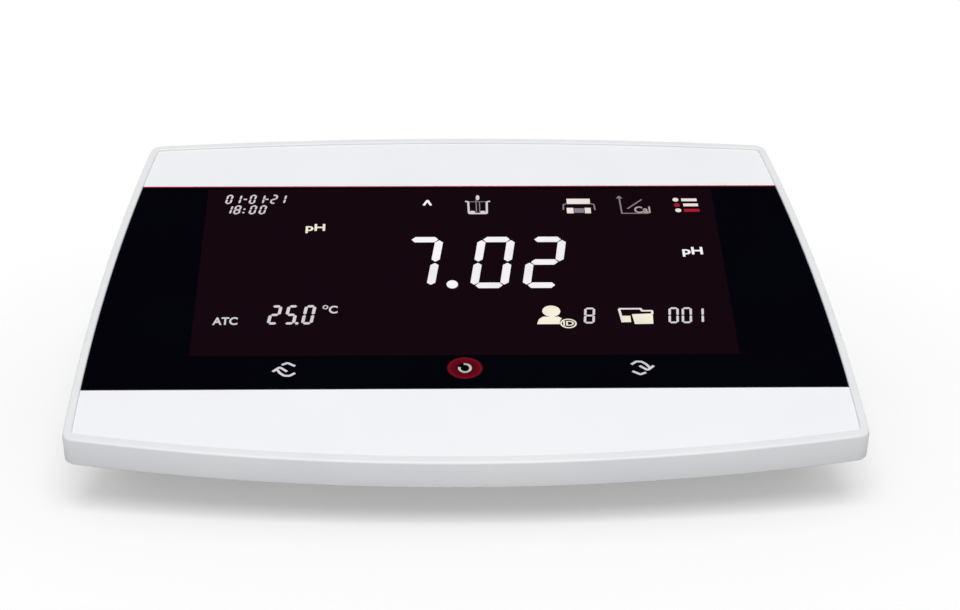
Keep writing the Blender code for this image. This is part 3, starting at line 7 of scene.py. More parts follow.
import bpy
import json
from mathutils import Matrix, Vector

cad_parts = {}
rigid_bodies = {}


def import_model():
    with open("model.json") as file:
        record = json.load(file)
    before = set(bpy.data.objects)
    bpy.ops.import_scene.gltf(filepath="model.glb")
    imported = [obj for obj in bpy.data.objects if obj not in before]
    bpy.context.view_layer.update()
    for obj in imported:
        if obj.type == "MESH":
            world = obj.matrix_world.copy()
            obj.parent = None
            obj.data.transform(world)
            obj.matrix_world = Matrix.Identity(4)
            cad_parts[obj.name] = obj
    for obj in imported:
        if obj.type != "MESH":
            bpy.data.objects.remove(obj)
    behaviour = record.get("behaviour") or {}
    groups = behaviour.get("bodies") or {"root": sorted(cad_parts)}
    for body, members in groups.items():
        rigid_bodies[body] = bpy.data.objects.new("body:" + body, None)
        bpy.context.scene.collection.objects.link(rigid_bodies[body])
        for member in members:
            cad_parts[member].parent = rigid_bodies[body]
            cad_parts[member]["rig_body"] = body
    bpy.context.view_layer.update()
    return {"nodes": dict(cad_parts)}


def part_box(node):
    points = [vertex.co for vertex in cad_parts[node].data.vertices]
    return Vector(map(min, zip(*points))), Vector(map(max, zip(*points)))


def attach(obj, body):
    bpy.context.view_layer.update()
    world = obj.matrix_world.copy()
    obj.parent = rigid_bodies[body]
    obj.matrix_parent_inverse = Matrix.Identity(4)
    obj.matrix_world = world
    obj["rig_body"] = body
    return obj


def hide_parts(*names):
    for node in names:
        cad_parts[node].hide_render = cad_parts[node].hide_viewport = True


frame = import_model()

import json
import math

import bmesh
import bpy
from mathutils import Matrix, Vector

MM = 0.001
nodes = frame["nodes"]


# ---------------------------------------------------------------- the table and the light
# A white sweep under one large soft lamp. The floor keeps the shadow and fades out into the white behind.
# Metal and gloss plastic see white low down and a dark ceiling above, which keeps the lens black.
def linear(hex_colour):
    """The linear value of an sRGB hex colour, opaque."""
    channels = [int(hex_colour[i : i + 2], 16) / 255 for i in (0, 2, 4)]
    return (*[c / 12.92 if c <= 0.04045 else ((c + 0.055) / 1.055) ** 2.4 for c in channels], 1.0)


def add_node(tree, kind, inputs=None, **settings):
    """Adds a node with its settings. An input takes a value, or the output that feeds it."""
    made = tree.nodes.new(kind)
    for name, value in settings.items():
        setattr(made, name, value)
    for name, value in (inputs or {}).items():
        if isinstance(value, bpy.types.NodeSocket):
            tree.links.new(value, made.inputs[name])
        else:
            made.inputs[name].default_value = value
    return made


def add_ramp(tree, factor, stops):
    """A colour ramp through (position, colour) stops."""
    ramp = add_node(tree, "ShaderNodeValToRGB", {"Fac": factor})
    elements = ramp.color_ramp.elements
    while len(elements) < len(stops):
        elements.new(0.5)
    for element, (position, colour) in zip(elements, stops):
        element.position = position
        element.color = colour
    return ramp.outputs["Color"]


# The camera's place, its turn in degrees and its lens were fitted to the outline in the photograph.
CAMERA_PLACE = (-14.7 * MM, -740.6 * MM, 304.8 * MM)
CAMERA_TURN = (70.116, -0.306, -1.448)
LENS_LENGTH = 93.2
SENSOR_WIDTH = 36.0
camera_data = bpy.data.cameras.new("camera")
camera_data.lens = LENS_LENGTH
camera_data.sensor_width = SENSOR_WIDTH
camera = bpy.data.objects.new("camera", camera_data)
camera.location = CAMERA_PLACE
camera.rotation_euler = [math.radians(angle) for angle in CAMERA_TURN]
bpy.context.scene.collection.objects.link(camera)
bpy.context.scene.camera = camera
bpy.context.scene.view_settings.view_transform = "Standard"

# One large square lamp hangs above and in front and is turned to the meter, so shadows are short and soft.
LAMP_SIDE = 2.2
LAMP_PLACE = (0.0, -1.6, 2.85)
LAMP_LEAN = 30.0
LAMP_WATTS = 74.0
lamp_data = bpy.data.lights.new("softbox", "AREA")
lamp_data.shape = "SQUARE"
lamp_data.size = LAMP_SIDE
lamp_data.energy = LAMP_WATTS
lamp = bpy.data.objects.new("softbox", lamp_data)
lamp.location = LAMP_PLACE
lamp.rotation_euler = (math.radians(LAMP_LEAN), 0.0, 0.0)
bpy.context.scene.collection.objects.link(lamp)

# An even white dome lights the meter. What mirrors show is white below and dark from CEILING_END up.
DOME_STRENGTH = 0.46
CEILING_START = 0.5
CEILING_END = 0.68
WHITE = linear("FFFFFF")
CEILING = linear("050507")
world = bpy.data.worlds.new("studio")
bpy.context.scene.world = world
world.use_nodes = True
tree = world.node_tree
tree.nodes.clear()
direction = add_node(tree, "ShaderNodeTexCoord").outputs["Generated"]
height = add_node(tree, "ShaderNodeSeparateXYZ", {"Vector": direction}).outputs["Z"]
stops = [(CEILING_START, WHITE), (CEILING_END, CEILING)]
seen = add_node(tree, "ShaderNodeBackground", {"Color": add_ramp(tree, height, stops)})
dome = add_node(tree, "ShaderNodeBackground", {"Color": WHITE, "Strength": DOME_STRENGTH})
ray = add_node(tree, "ShaderNodeLightPath").outputs
mirrored = add_node(
    tree, "ShaderNodeMath", {0: ray["Is Glossy Ray"], 1: ray["Is Transmission Ray"]}, operation="MAXIMUM"
)
shown = add_node(
    tree, "ShaderNodeMath", {0: ray["Is Camera Ray"], 1: mirrored.outputs[0]}, operation="MAXIMUM"
)
mixed = add_node(
    tree, "ShaderNodeMixShader", {0: shown.outputs[0], 1: dome.outputs[0], 2: seen.outputs[0]}
)
add_node(tree, "ShaderNodeOutputWorld", {"Surface": mixed.outputs[0]})

# Matt white paper gives no mirror image, only the shadow. It is clear from FADE_END out, and the veil
# lightens the shadow for the camera alone.
FLOOR_RADIUS = 1.4
FLOOR_STEPS = 96
FADE_START = 0.11
FADE_END = 0.24
SHADOW_VEIL = 0.36
PAPER_BOUNCE = linear("C4C4C6")
PAPER_SEEN = linear("F9F9FA")
floor_finish = bpy.data.materials.new("matt white paper sweep")
floor_finish.use_nodes = True
tree = floor_finish.node_tree
tree.nodes.clear()
place = add_node(tree, "ShaderNodeTexCoord").outputs["Object"]
distance = add_node(tree, "ShaderNodeVectorMath", {0: place}, operation="LENGTH").outputs["Value"]
ray = add_node(tree, "ShaderNodeLightPath").outputs
veil = add_node(tree, "ShaderNodeMath", {0: ray["Is Camera Ray"], 1: SHADOW_VEIL}, operation="MULTIPLY")
fade = add_node(
    tree,
    "ShaderNodeMapRange",
    {"Value": distance, "From Min": FADE_START, "From Max": FADE_END, "To Min": veil.outputs[0]},
    interpolation_type="SMOOTHSTEP",
)
colours = {0: ray["Is Camera Ray"], 6: PAPER_BOUNCE, 7: PAPER_SEEN}
shade = add_node(tree, "ShaderNodeMix", colours, data_type="RGBA")
paper = add_node(tree, "ShaderNodeBsdfDiffuse", {"Color": shade.outputs[2]})
clear = add_node(tree, "ShaderNodeBsdfTransparent")
mixed = add_node(
    tree, "ShaderNodeMixShader", {0: fade.outputs[0], 1: paper.outputs[0], 2: clear.outputs[0]}
)
add_node(tree, "ShaderNodeOutputMaterial", {"Surface": mixed.outputs[0]})
shape = bmesh.new()
bmesh.ops.create_circle(shape, cap_ends=True, segments=FLOOR_STEPS, radius=FLOOR_RADIUS)
floor_mesh = bpy.data.meshes.new("floor")
shape.to_mesh(floor_mesh)
shape.free()
floor_mesh.materials.append(floor_finish)
floor = bpy.data.objects.new("floor", floor_mesh)
bpy.context.scene.collection.objects.link(floor)


# ---------------------------------------------------------------- base housing
# The lower half of the case: one injection moulding in light grey ABS, with the jack panel at the rear,
# the screw wells, the foot seats and the plate recess. Screws from below hold it to the upper half.
def new_finish(name, roughness, metallic=0.0, **sockets):
    """A material with one Principled shader, its constants on the shader's own sockets."""
    material = bpy.data.materials.new(name)
    material.use_nodes = True
    shader = material.node_tree.nodes["Principled BSDF"]
    shader.inputs["Roughness"].default_value = roughness
    shader.inputs["Metallic"].default_value = metallic
    for socket, value in sockets.items():
        shader.inputs[socket.replace("_", " ")].default_value = value
    return material, material.node_tree, shader


def cloud(tree, size, detail=2.0, stretch=None):
    """A soft noise whose patches are about this size in metres, in the object's own coordinates."""
    where = add_node(tree, "ShaderNodeTexCoord").outputs["Object"]
    if stretch:
        where = add_node(tree, "ShaderNodeMapping", {"Vector": where, "Scale": stretch}).outputs[0]
    noise = add_node(tree, "ShaderNodeTexNoise", {"Vector": where, "Scale": 1 / size, "Detail": detail})
    return noise.outputs["Fac"]


def add_gloss(tree, shader, pattern, roughness, least, most):
    """Lets the roughness follow a pattern, between these shares of its own value."""
    limits = {"Value": pattern, "To Min": roughness * least, "To Max": roughness * most}
    gloss = add_node(tree, "ShaderNodeMapRange", limits)
    tree.links.new(gloss.outputs[0], shader.inputs["Roughness"])


def add_relief(tree, shader, pattern, strength, depth):
    """Raises the surface by a pattern of this depth in metres."""
    bump = add_node(tree, "ShaderNodeBump", {"Height": pattern, "Strength": strength, "Distance": depth})
    tree.links.new(bump.outputs[0], shader.inputs["Normal"])


BLOTCH_SIZE = 30.0 * MM
WEAR_SIZE = 8.0 * MM
WEAR_GLOSS = (0.85, 1.15)
RELIEF_STRENGTH = 0.6


def moulded(name, low, high, roughness, grain, relief, **sockets):
    """A moulded or coated surface: two close colours in clouds, uneven gloss, and a fine even relief."""
    material, tree, shader = new_finish(name, roughness, **sockets)
    blotch = cloud(tree, BLOTCH_SIZE)
    colour = add_ramp(tree, blotch, [(0.3, linear(low)), (0.7, linear(high))])
    tree.links.new(colour, shader.inputs["Base Color"])
    add_gloss(tree, shader, cloud(tree, WEAR_SIZE, detail=5.0), roughness, *WEAR_GLOSS)
    add_relief(tree, shader, cloud(tree, grain, detail=1.0), RELIEF_STRENGTH, relief)
    return material


# Doubles are merged within a tenth of a micrometre. An edge sharper than SHARP_ANGLE degrees stays sharp.
MERGE_DISTANCE = 1e-7
SHARP_ANGLE = 32.0


def solid_mesh(name, points, faces):
    """A mesh with its doubles merged and its faces outward."""
    shape = bmesh.new()
    corners = [shape.verts.new(point) for point in points]
    for face in faces:
        shape.faces.new([corners[i] for i in face])
    bmesh.ops.remove_doubles(shape, verts=shape.verts, dist=MERGE_DISTANCE)
    bmesh.ops.recalc_face_normals(shape, faces=shape.faces)
    mesh = bpy.data.meshes.new(name)
    shape.to_mesh(mesh)
    shape.free()
    return mesh


def add_piece(name, points, faces, finish, place=None, angle=SHARP_ANGLE, replaces=(), slot=None):
    """A finished piece from points and faces, riding on the meter."""
    return dress(name, solid_mesh(name, points, faces), finish, "meter", place, angle, replaces)


def dress(name, mesh, finish, body="meter", place=None, angle=SHARP_ANGLE, replaces=()):
    """Gives a mesh its place, shading, finish and body, and hides the CAD nodes that it stands for."""
    if place:
        mesh.transform(place)
    mesh.shade_smooth()
    mesh.set_sharp_from_angle(angle=math.radians(angle))
    if finish:
        mesh.materials.clear()
        mesh.materials.append(finish)
    piece = bpy.data.objects.new(name, mesh)
    bpy.context.scene.collection.objects.link(piece)
    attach(piece, body)
    if replaces:
        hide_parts(*replaces)
    return piece


def finish_node(name, finish):
    """A CAD node whose shape is right keeps it, and gets this finish."""
    mesh = nodes[name].data
    mesh.materials.clear()
    mesh.materials.append(finish)


def plain_mesh(source):
    """The mesh that an object's modifiers make. The object goes afterwards."""
    graph = bpy.context.evaluated_depsgraph_get()
    mesh = bpy.data.meshes.new_from_object(source.evaluated_get(graph))
    source.modifiers.clear()
    bpy.data.objects.remove(source)
    return mesh


# A face of more than a square centimetre counts as a large flat wall. Triangles that lie within COPLANAR of
# each other are one face, and corners within a micrometre of each other are one corner.
FLAT_AREA = 1.0e-4
FLAT_ANGLE = math.radians(7.0)
COPLANAR = math.radians(0.4)
NODE_MERGE_DISTANCE = 1e-6


def keep_flats(mesh):
    """Marks the edges of large flat walls sharp, so that the roundings beside them don't tint them."""
    shape = bmesh.new()
    shape.from_mesh(mesh)
    for edge in shape.edges:
        if len(edge.link_faces) == 2 and edge.calc_face_angle() > FLAT_ANGLE:
            if max(face.calc_area() for face in edge.link_faces) > FLAT_AREA:
                edge.smooth = False
    shape.to_mesh(mesh)
    shape.free()


def merged_copy(name, finish, angle):
    """A CAD node's mesh with its loose triangles merged into whole faces. Its roundings shade smoothly."""
    shape = bmesh.new()
    shape.from_mesh(nodes[name].data)
    bmesh.ops.remove_doubles(shape, verts=shape.verts, dist=NODE_MERGE_DISTANCE)
    bmesh.ops.dissolve_limit(shape, angle_limit=COPLANAR, verts=shape.verts, edges=shape.edges)
    mesh = bpy.data.meshes.new(name + "_smooth")
    shape.to_mesh(mesh)
    shape.free()
    body = nodes[name]["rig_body"]
    dress(name + "_smooth", mesh, finish, body, None, angle, (name,))
    keep_flats(mesh)


# Light grey ABS from a spark-textured mould: a fine grain that dulls the gloss to a soft sheen.
grey_abs = moulded("light grey ABS, spark textured", "B9BBBD", "BFC1C3", 0.5, 0.5 * MM, 0.02 * MM)
HOUSING_ANGLE = 24.0
merged_copy("base_housing", grey_abs, HOUSING_ANGLE)


# ---------------------------------------------------------------- feet and rating plate
# Four feet of black nitrile rubber are pressed into round seats under the base. The rating plate is a
# self-adhesive sheet of satin silver polyester, left bare, in a shallow recess.
def turned(profile, steps=48):
    """The points and faces of a shape turned about Z from (radius, z) pairs.

    A radius may be a function of the angle. A profile that starts off the axis closes on itself.
    """
    points = []
    rows = []
    for radius, z in profile:
        if radius == 0.0:
            rows.append([len(points)])
            points.append((0.0, 0.0, z))
            continue
        rows.append([len(points) + i for i in range(steps)])
        for i in range(steps):
            angle = 2 * math.pi * i / steps
            reach = radius(angle) if callable(radius) else radius
            points.append((reach * math.cos(angle), reach * math.sin(angle), z))
    if len(rows[0]) > 1:
        rows.append(rows[0])
    faces = []
    for low, high in zip(rows, rows[1:]):
        for i in range(steps):
            j = (i + 1) % steps
            corner = [low[i % len(low)], low[j % len(low)], high[j % len(high)], high[i % len(high)]]
            faces.append(tuple(dict.fromkeys(corner)))
    return points, faces


def arc(centre, radii, start, end, steps):
    """Points of an elliptical arc, angles in degrees, both ends included."""
    points = []
    for i in range(steps + 1):
        angle = math.radians(start + (end - start) * i / steps)
        points.append((centre[0] + radii[0] * math.cos(angle), centre[1] + radii[1] * math.sin(angle)))
    return points


def new_tree(name, sizes):
    """A geometry tree with a geometry input and output, a finish and these named sizes."""
    tree = bpy.data.node_groups.new(name, "GeometryNodeTree")
    tree.interface.new_socket(name="Geometry", in_out="INPUT", socket_type="NodeSocketGeometry")
    tree.interface.new_socket(name="Finish", in_out="INPUT", socket_type="NodeSocketMaterial")
    for size, kind in sizes:
        tree.interface.new_socket(name=size, in_out="INPUT", socket_type=kind)
    tree.interface.new_socket(name="Geometry", in_out="OUTPUT", socket_type="NodeSocketGeometry")
    return tree, add_node(tree, "NodeGroupInput").outputs


def end_tree(tree, geometry, finish):
    """Realises what repeats, gives it the finish and ends the tree."""
    real = add_node(tree, "GeometryNodeRealizeInstances", {"Geometry": geometry})
    finished = add_node(
        tree, "GeometryNodeSetMaterial", {"Geometry": real.outputs[0], "Material": finish}
    )
    add_node(tree, "NodeGroupOutput", {"Geometry": finished.outputs[0]})


def grow(source, tree, sizes):
    """The plain mesh that a tree makes on an object. The modifier and the object go afterwards."""
    bpy.context.scene.collection.objects.link(source)
    modifier = source.modifiers.new("shape", "NODES")
    modifier.node_group = tree
    for item in tree.interface.items_tree:
        if item.item_type == "SOCKET" and item.in_out == "INPUT" and item.name in sizes:
            modifier[item.identifier] = sizes[item.name]
    return plain_mesh(source)


copy_tree, given = new_tree("copies at places", [("Shape", "NodeSocketObject")])
copied_shape = add_node(copy_tree, "GeometryNodeObjectInfo", {"Object": given["Shape"]})
copied = add_node(
    copy_tree,
    "GeometryNodeInstanceOnPoints",
    {"Points": given["Geometry"], "Instance": copied_shape.outputs["Geometry"]},
)
end_tree(copy_tree, copied.outputs[0], given["Finish"])


def copies(name, shape, spots, finish, place=None, replaces=()):
    """The same shape, given as points and faces, at each of the spots, as one piece of the meter."""
    original = bpy.data.objects.new(name + "_shape", solid_mesh(name + "_shape", *shape))
    bpy.context.scene.collection.objects.link(original)
    cloud_of_spots = bpy.data.meshes.new(name)
    cloud_of_spots.from_pydata(spots, [], [])
    source = bpy.data.objects.new(name, cloud_of_spots)
    mesh = grow(source, copy_tree, {"Finish": finish, "Shape": original})
    bpy.data.objects.remove(original)
    dress(name, mesh, None, place=place, replaces=replaces)


def middles(boxes):
    """The middle of each box across and along, at its lower end."""
    return [((low.x + high.x) / 2, (low.y + high.y) / 2, low.z) for low, high in boxes]


# Black nitrile rubber from a blasted mould: matt and grainy, so it shows hardly any highlight.
rubber = moulded("black nitrile rubber, moulded", "161617", "1E1E20", 0.72, 0.6 * MM, 0.03 * MM)
FOOT_ROUND = 0.8 * MM
FOOT_DISH = 0.4 * MM
FOOT_DISH_SHARES = (0.6, 0.7)
ROUND_STEPS = 5
feet = sorted(name for name in nodes if name.startswith("foot_"))
boxes = [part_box(foot) for foot in feet]
low, high = boxes[0]
radius = (high.x - low.x) / 2
edge = arc((radius - FOOT_ROUND, FOOT_ROUND), (FOOT_ROUND, FOOT_ROUND), -90.0, 0.0, ROUND_STEPS)
dish_floor, dish_edge = (radius * share for share in FOOT_DISH_SHARES)
profile = [(0.0, FOOT_DISH), (dish_floor, FOOT_DISH), (dish_edge, 0.0), *edge]
profile += [(radius, high.z), (0.0, high.z)]
copies("rubber_feet", turned(profile), middles(boxes), rubber, replaces=feet)

# Silver polyester label stock: a smooth satin sheet, brighter than the housing round it.
silver_film = moulded("silver polyester label stock", "D2D4D7", "DCDEE0", 0.3, 0.3 * MM, 0.004 * MM)
finish_node("rating_plate", silver_film)


# ---------------------------------------------------------------- circuit boards
# Glass-fibre boards with soldered parts, screwed to posts inside the case. The chips are black epoxy, the
# shield can is tin-plated steel and the flat cables are white polyester.
TRACK_PITCH = 1.3 * MM
TRACK_LENGTH = 6.5 * MM
TRACK_WIDTH = 0.12 * MM
COPPER_THICKNESS = 0.035 * MM


def board_finish(name):
    """Green solder mask over a rectangular net of tracks."""
    material, tree, shader = new_finish(name, roughness=0.35, Coat_Weight=0.3, Coat_Roughness=0.2)
    where = add_node(tree, "ShaderNodeTexCoord").outputs["Object"]
    tracks = add_node(
        tree,
        "ShaderNodeTexBrick",
        {
            "Vector": where,
            "Color1": linear("0B4A26"),
            "Color2": linear("0D5229"),
            "Mortar": linear("2C7A45"),
            "Scale": 1.0,
            "Mortar Size": TRACK_WIDTH,
            "Brick Width": TRACK_LENGTH,
            "Row Height": TRACK_PITCH,
        },
    )
    tree.links.new(tracks.outputs["Color"], shader.inputs["Base Color"])
    add_relief(tree, shader, tracks.outputs["Fac"], 1.0, COPPER_THICKNESS)
    return material


# Green solder mask on glass fibre: a glossy deep green, with the copper tracks as lighter raised lines.
green_board = board_finish("green solder mask on glass fibre")
# Epoxy from a blasted mould: near black, half matt, with the finest of grains.
epoxy = moulded("black epoxy chip casing", "141415", "1B1B1C", 0.5, 0.3 * MM, 0.01 * MM)
# Laminated polyester: an off-white satin strip with slow waves.
polyester = moulded("white polyester flat cable", "C9CACB", "D6D7D8", 0.4, 2.0 * MM, 0.02 * MM)
# Steel sheet with dipped tin: a soft grey metal shine without sharp mirror images.
tin_plate = moulded("tin-plated steel sheet", "A8A9AC", "BCBDC0", 0.34, 1.2 * MM, 0.006 * MM, Metallic=1.0)
# PBT from a lightly textured mould: black with a broad, faint sheen.
black_pbt = moulded("black PBT, moulded", "101012", "17171A", 0.45, 0.4 * MM, 0.012 * MM)
for board in ("main_board", "key_board", "connector_board"):
    finish_node(board, green_board)
for chip in ("processor", "display_driver"):
    finish_node(chip, epoxy)
for cable in ("display_ribbon", "key_ribbon", "connector_ribbon"):
    finish_node(cable, polyester)
for can in ("input_shield", "clock_cell"):
    finish_node(can, tin_plate)
for holder in ("clock_cell_holder", "buzzer", "display_tray"):
    finish_node(holder, black_pbt)


# ---------------------------------------------------------------- display and keys, under the lens
# A segment glass on a white light guide lies in a black tray. The key board beside it carries the red light
# ring of the power key and the two infrared hand sensors.

# Polished glass over dark segments: nearly black, with clear mirror images.
dark_glass = moulded("segment display glass", "0B0609", "100A0D", 0.08, 4.0 * MM, 0.002 * MM)
# Frosted acrylic: a pale, milky and evenly satin block.
light_guide = moulded("white acrylic light guide", "D8D8D4", "E6E6E2", 0.3, 0.8 * MM, 0.01 * MM)
# A clear film on a dark ground: a smooth dark grey with a soft gloss.
touch_film = moulded("clear touch film", "3A3D40", "44474A", 0.2, 3.0 * MM, 0.002 * MM)
# Polycarbonate dyed in the mass: a deep red with a satin gloss.
red_guide = moulded("red polycarbonate light guide", "6E0510", "8A0A18", 0.25, 1.0 * MM, 0.005 * MM)
for part, finish in (
    ("lcd_glass", dark_glass),
    ("lcd_backlight", light_guide),
    ("touch_sensor", touch_film),
    ("power_light_ring", red_guide),
    ("hand_sensor_left", epoxy),
    ("hand_sensor_right", epoxy),
):
    finish_node(part, finish)


# ---------------------------------------------------------------- upper housing
# The white half of the case: one moulding in ABS with an outer band, a crowned rim round the face and a
# sunk plate inside it. The rim's crest is rounded and a narrow groove parts it from the sheets.
FRONT_WIDTH = 234.7 * MM
MIDDLE_WIDTH = 228.2 * MM
REAR_WIDTH = 208.5 * MM
FACE_DEPTH = 175.0 * MM
FRONT_BOW = 12.0 * MM
REAR_BOW = 4.8 * MM
CORNER_RADIUS = 3.5 * MM
# Everything stays this far inside the solid housing.
INSIDE_CAD = 0.03 * MM
BAND_HEIGHT = 8.2 * MM
BAND_DRAFT = 0.3 * MM
FRONT_DRAFT = 0.56 * MM
INNER_WALL = 3.26 * MM
EDGE_ROUND = 0.5 * MM
CREST_LEVEL = -1.2 * MM
CREST_ROUND = 0.9 * MM
CREST_INSET = 0.12 * MM
CREST_WIDTH = 0.92 * MM
RIM_WIDTH = 2.65 * MM
FRONT_RIM_EXTRA = 0.9 * MM
REAR_RIM_EXTRA = 0.3 * MM
RIM_INNER_ROUND = 0.5 * MM
SHEET_DROP = 0.6 * MM
SHEET_THICKNESS = 1.2 * MM
SHEET_CORNER = 1.5 * MM
SEAM_CORNER = 0.2 * MM
PLATE_TOP = -2.1 * MM
PLATE_BACK = -4.6 * MM
OPENING_HALF_WIDTH = 88.5 * MM
OPENING_FRONT = -49.5 * MM
OPENING_REAR = 61.5 * MM
OPENING_RADIUS = 2.0 * MM
SIDE_STEPS = 40
CORNER_STEPS = 10
EDGE_STEPS = 4
CREST_STEPS = 7
# A corner's place settles within this many rounds.
CORNER_TRIES = 8

FACE_TILT = math.radians(16.0)
FACE_CENTRE = (0.0, -5.11 * MM, 45.135 * MM)
FACE = Matrix.Translation(FACE_CENTRE) @ Matrix.Rotation(FACE_TILT, 4, "X")


def side_half_width(y):
    """Half the body's width at y up the face: a parabola through its three widths."""
    front_y = FRONT_BOW - FACE_DEPTH / 2
    rear_y = FACE_DEPTH / 2 - REAR_BOW
    front = (FRONT_WIDTH - MIDDLE_WIDTH) / 2
    rear = (REAR_WIDTH - MIDDLE_WIDTH) / 2
    curve = (rear / rear_y - front / front_y) / (rear_y - front_y)
    slope = rear / rear_y - curve * rear_y
    return MIDDLE_WIDTH / 2 + slope * y + curve * y * y


def between(start, end, steps):
    """Evenly spaced values, both ends included."""
    return [start + (end - start) * i / steps for i in range(steps + 1)]


def round_off(start, corner, end):
    """The inside points of a rounded corner between two edges."""
    points = []
    for i in range(1, CORNER_STEPS):
        t = i / CORNER_STEPS
        weights = ((1 - t) ** 2, 2 * t * (1 - t), t * t)
        ends = list(zip(weights, (start, corner, end)))
        points.append(tuple(sum(weight * point[axis] for weight, point in ends) for axis in (0, 1)))
    return points


def outline(front_y, rear_y, front_bow, rear_bow, inset, radii, half_width=side_half_width):
    """A closed line: bowed front and rear edges, and sides held inset from the body's sides.

    radii are those of its front corners and of its rear corners.
    """

    def front_edge(x):
        return front_y + front_bow * (2 * x / FRONT_WIDTH) ** 2

    def rear_edge(x):
        return rear_y - rear_bow * (2 * x / REAR_WIDTH) ** 2

    def side(y):
        return half_width(y) - inset

    def corner(edge, y):
        for _ in range(CORNER_TRIES):
            y = edge(side(y))
        return side(y), y

    front_x, front_corner = corner(front_edge, front_y)
    rear_x, rear_corner = corner(rear_edge, rear_y)
    front_radius, rear_radius = radii
    front_end = (front_x - front_radius, front_edge(front_x - front_radius))
    side_start = (side(front_corner + front_radius), front_corner + front_radius)
    side_end = (side(rear_corner - rear_radius), rear_corner - rear_radius)
    rear_start = (rear_x - rear_radius, rear_edge(rear_x - rear_radius))
    half = [(x, front_edge(x)) for x in between(0.0, front_end[0], SIDE_STEPS // 2)]
    half += round_off(front_end, (front_x, front_corner), side_start)
    half += [(side(y), y) for y in between(side_start[1], side_end[1], SIDE_STEPS)]
    half += round_off(side_end, (rear_x, rear_corner), rear_start)
    half += [(x, rear_edge(x)) for x in between(rear_start[0], 0.0, SIDE_STEPS // 2)]
    return half + [(-x, y) for x, y in reversed(half[1:-1])]


def body_line(inset, radius=CORNER_RADIUS, front_shift=0.0, rear_shift=0.0):
    """The body's outline, held inset from its edge. The shifts move its front and rear inwards."""
    edge = FACE_DEPTH / 2 - inset - INSIDE_CAD
    radii = (radius, radius)
    return outline(front_shift - edge, edge - rear_shift, FRONT_BOW, REAR_BOW, inset + INSIDE_CAD, radii)


def rim_line(inset):
    """The rim's inner line. The rim is wider at the front and at the rear than at the sides."""
    return body_line(inset, SHEET_CORNER, FRONT_RIM_EXTRA, REAR_RIM_EXTRA)


def band_line(inset, level):
    """A line round the outer band, whose front stands nearly upright although the face slopes."""
    forward = math.tan(FACE_TILT) - FRONT_DRAFT / BAND_HEIGHT
    return body_line(inset, front_shift=(level - CREST_LEVEL) * forward)


def rectangle(half_width, front_y, rear_y, radius):
    """A straight-sided outline with four equal corners."""
    return outline(front_y, rear_y, 0.0, 0.0, 0.0, (radius, radius), lambda y: half_width)


def skin(loops, closed=False):
    """Points and faces through (outline, level) loops of equal count, capped or closed on themselves."""
    count = len(loops[0][0])
    points = [(x, y, level) for line, level in loops for x, y in line]
    faces = []
    for span in range(len(loops) if closed else len(loops) - 1):
        low_start = span * count
        high_start = (span + 1) % len(loops) * count
        for i in range(count):
            j = (i + 1) % count
            faces.append((low_start + i, low_start + j, high_start + j, high_start + i))
    if not closed:
        faces.append(tuple(reversed(range(count))))
        faces.append(tuple(range((len(loops) - 1) * count, len(loops) * count)))
    return points, faces


# White ABS from a satin mould: bright, with a fine even grain and soft highlights along the rim.
white_abs = moulded("white ABS, satin moulded", "E2E4E7", "E6E8EA", 0.38, 0.45 * MM, 0.008 * MM)
edge_centre = (BAND_DRAFT + EDGE_ROUND, EDGE_ROUND - BAND_HEIGHT)
bottom_edge = arc(edge_centre, (EDGE_ROUND, EDGE_ROUND), -90.0, -180.0, EDGE_STEPS)
crest_radii = (CREST_WIDTH - CREST_INSET, CREST_ROUND - INSIDE_CAD)
crest = [(0.0, CREST_LEVEL)] + arc((CREST_WIDTH, -CREST_ROUND), crest_radii, 180.0, 90.0, CREST_STEPS)
inner_round = (RIM_INNER_ROUND, RIM_INNER_ROUND)
inner_edge = arc((RIM_WIDTH - RIM_INNER_ROUND, -RIM_INNER_ROUND), inner_round, 90.0, 0.0, ROUND_STEPS)
opening = rectangle(OPENING_HALF_WIDTH, OPENING_FRONT, OPENING_REAR, OPENING_RADIUS)
rim_loops = [(band_line(inset, level), level) for inset, level in bottom_edge]
rim_loops += [(body_line(inset), level) for inset, level in crest]
rim_loops += [(rim_line(inset), level) for inset, level in inner_edge]
rim_loops += [
    (rim_line(RIM_WIDTH), PLATE_TOP),
    (opening, PLATE_TOP),
    (opening, PLATE_BACK),
    (body_line(INNER_WALL), PLATE_BACK),
    (body_line(INNER_WALL), -BAND_HEIGHT),
]
add_piece(
    "upper_housing_shell",
    *skin(rim_loops, closed=True),
    white_abs,
    place=FACE,
    replaces=["upper_housing"],
    slot="white_plastic",
)

# Extruded silicone: a light grey cord, dull and slightly uneven.
seal_rubber = moulded("light grey silicone seal", "A2A4A6", "ABADAF", 0.7, 0.8 * MM, 0.05 * MM)
finish_node("housing_seal", seal_rubber)


# ---------------------------------------------------------------- face sheets
# Two sheets of white gloss polyester and, between them, the touch lens: acrylic printed black on its back,
# with a window of smoked tint over the display. All three are bonded flush in the sunk face.
LENS_FRONT = -51.85 * MM
LENS_REAR = 58.25 * MM
SEAM = 0.04 * MM
SHEET_EDGE = 0.15 * MM
SHEET_EDGE_STEPS = 3
FLAT_START = 0.04 * MM
WINDOW_HALF_WIDTH = 83.4 * MM
WINDOW_FRONT = -35.3 * MM
WINDOW_REAR = 56.2 * MM
WINDOW_CORNER = 0.4 * MM
WINDOW_MATCH = (0.9, 1.02)


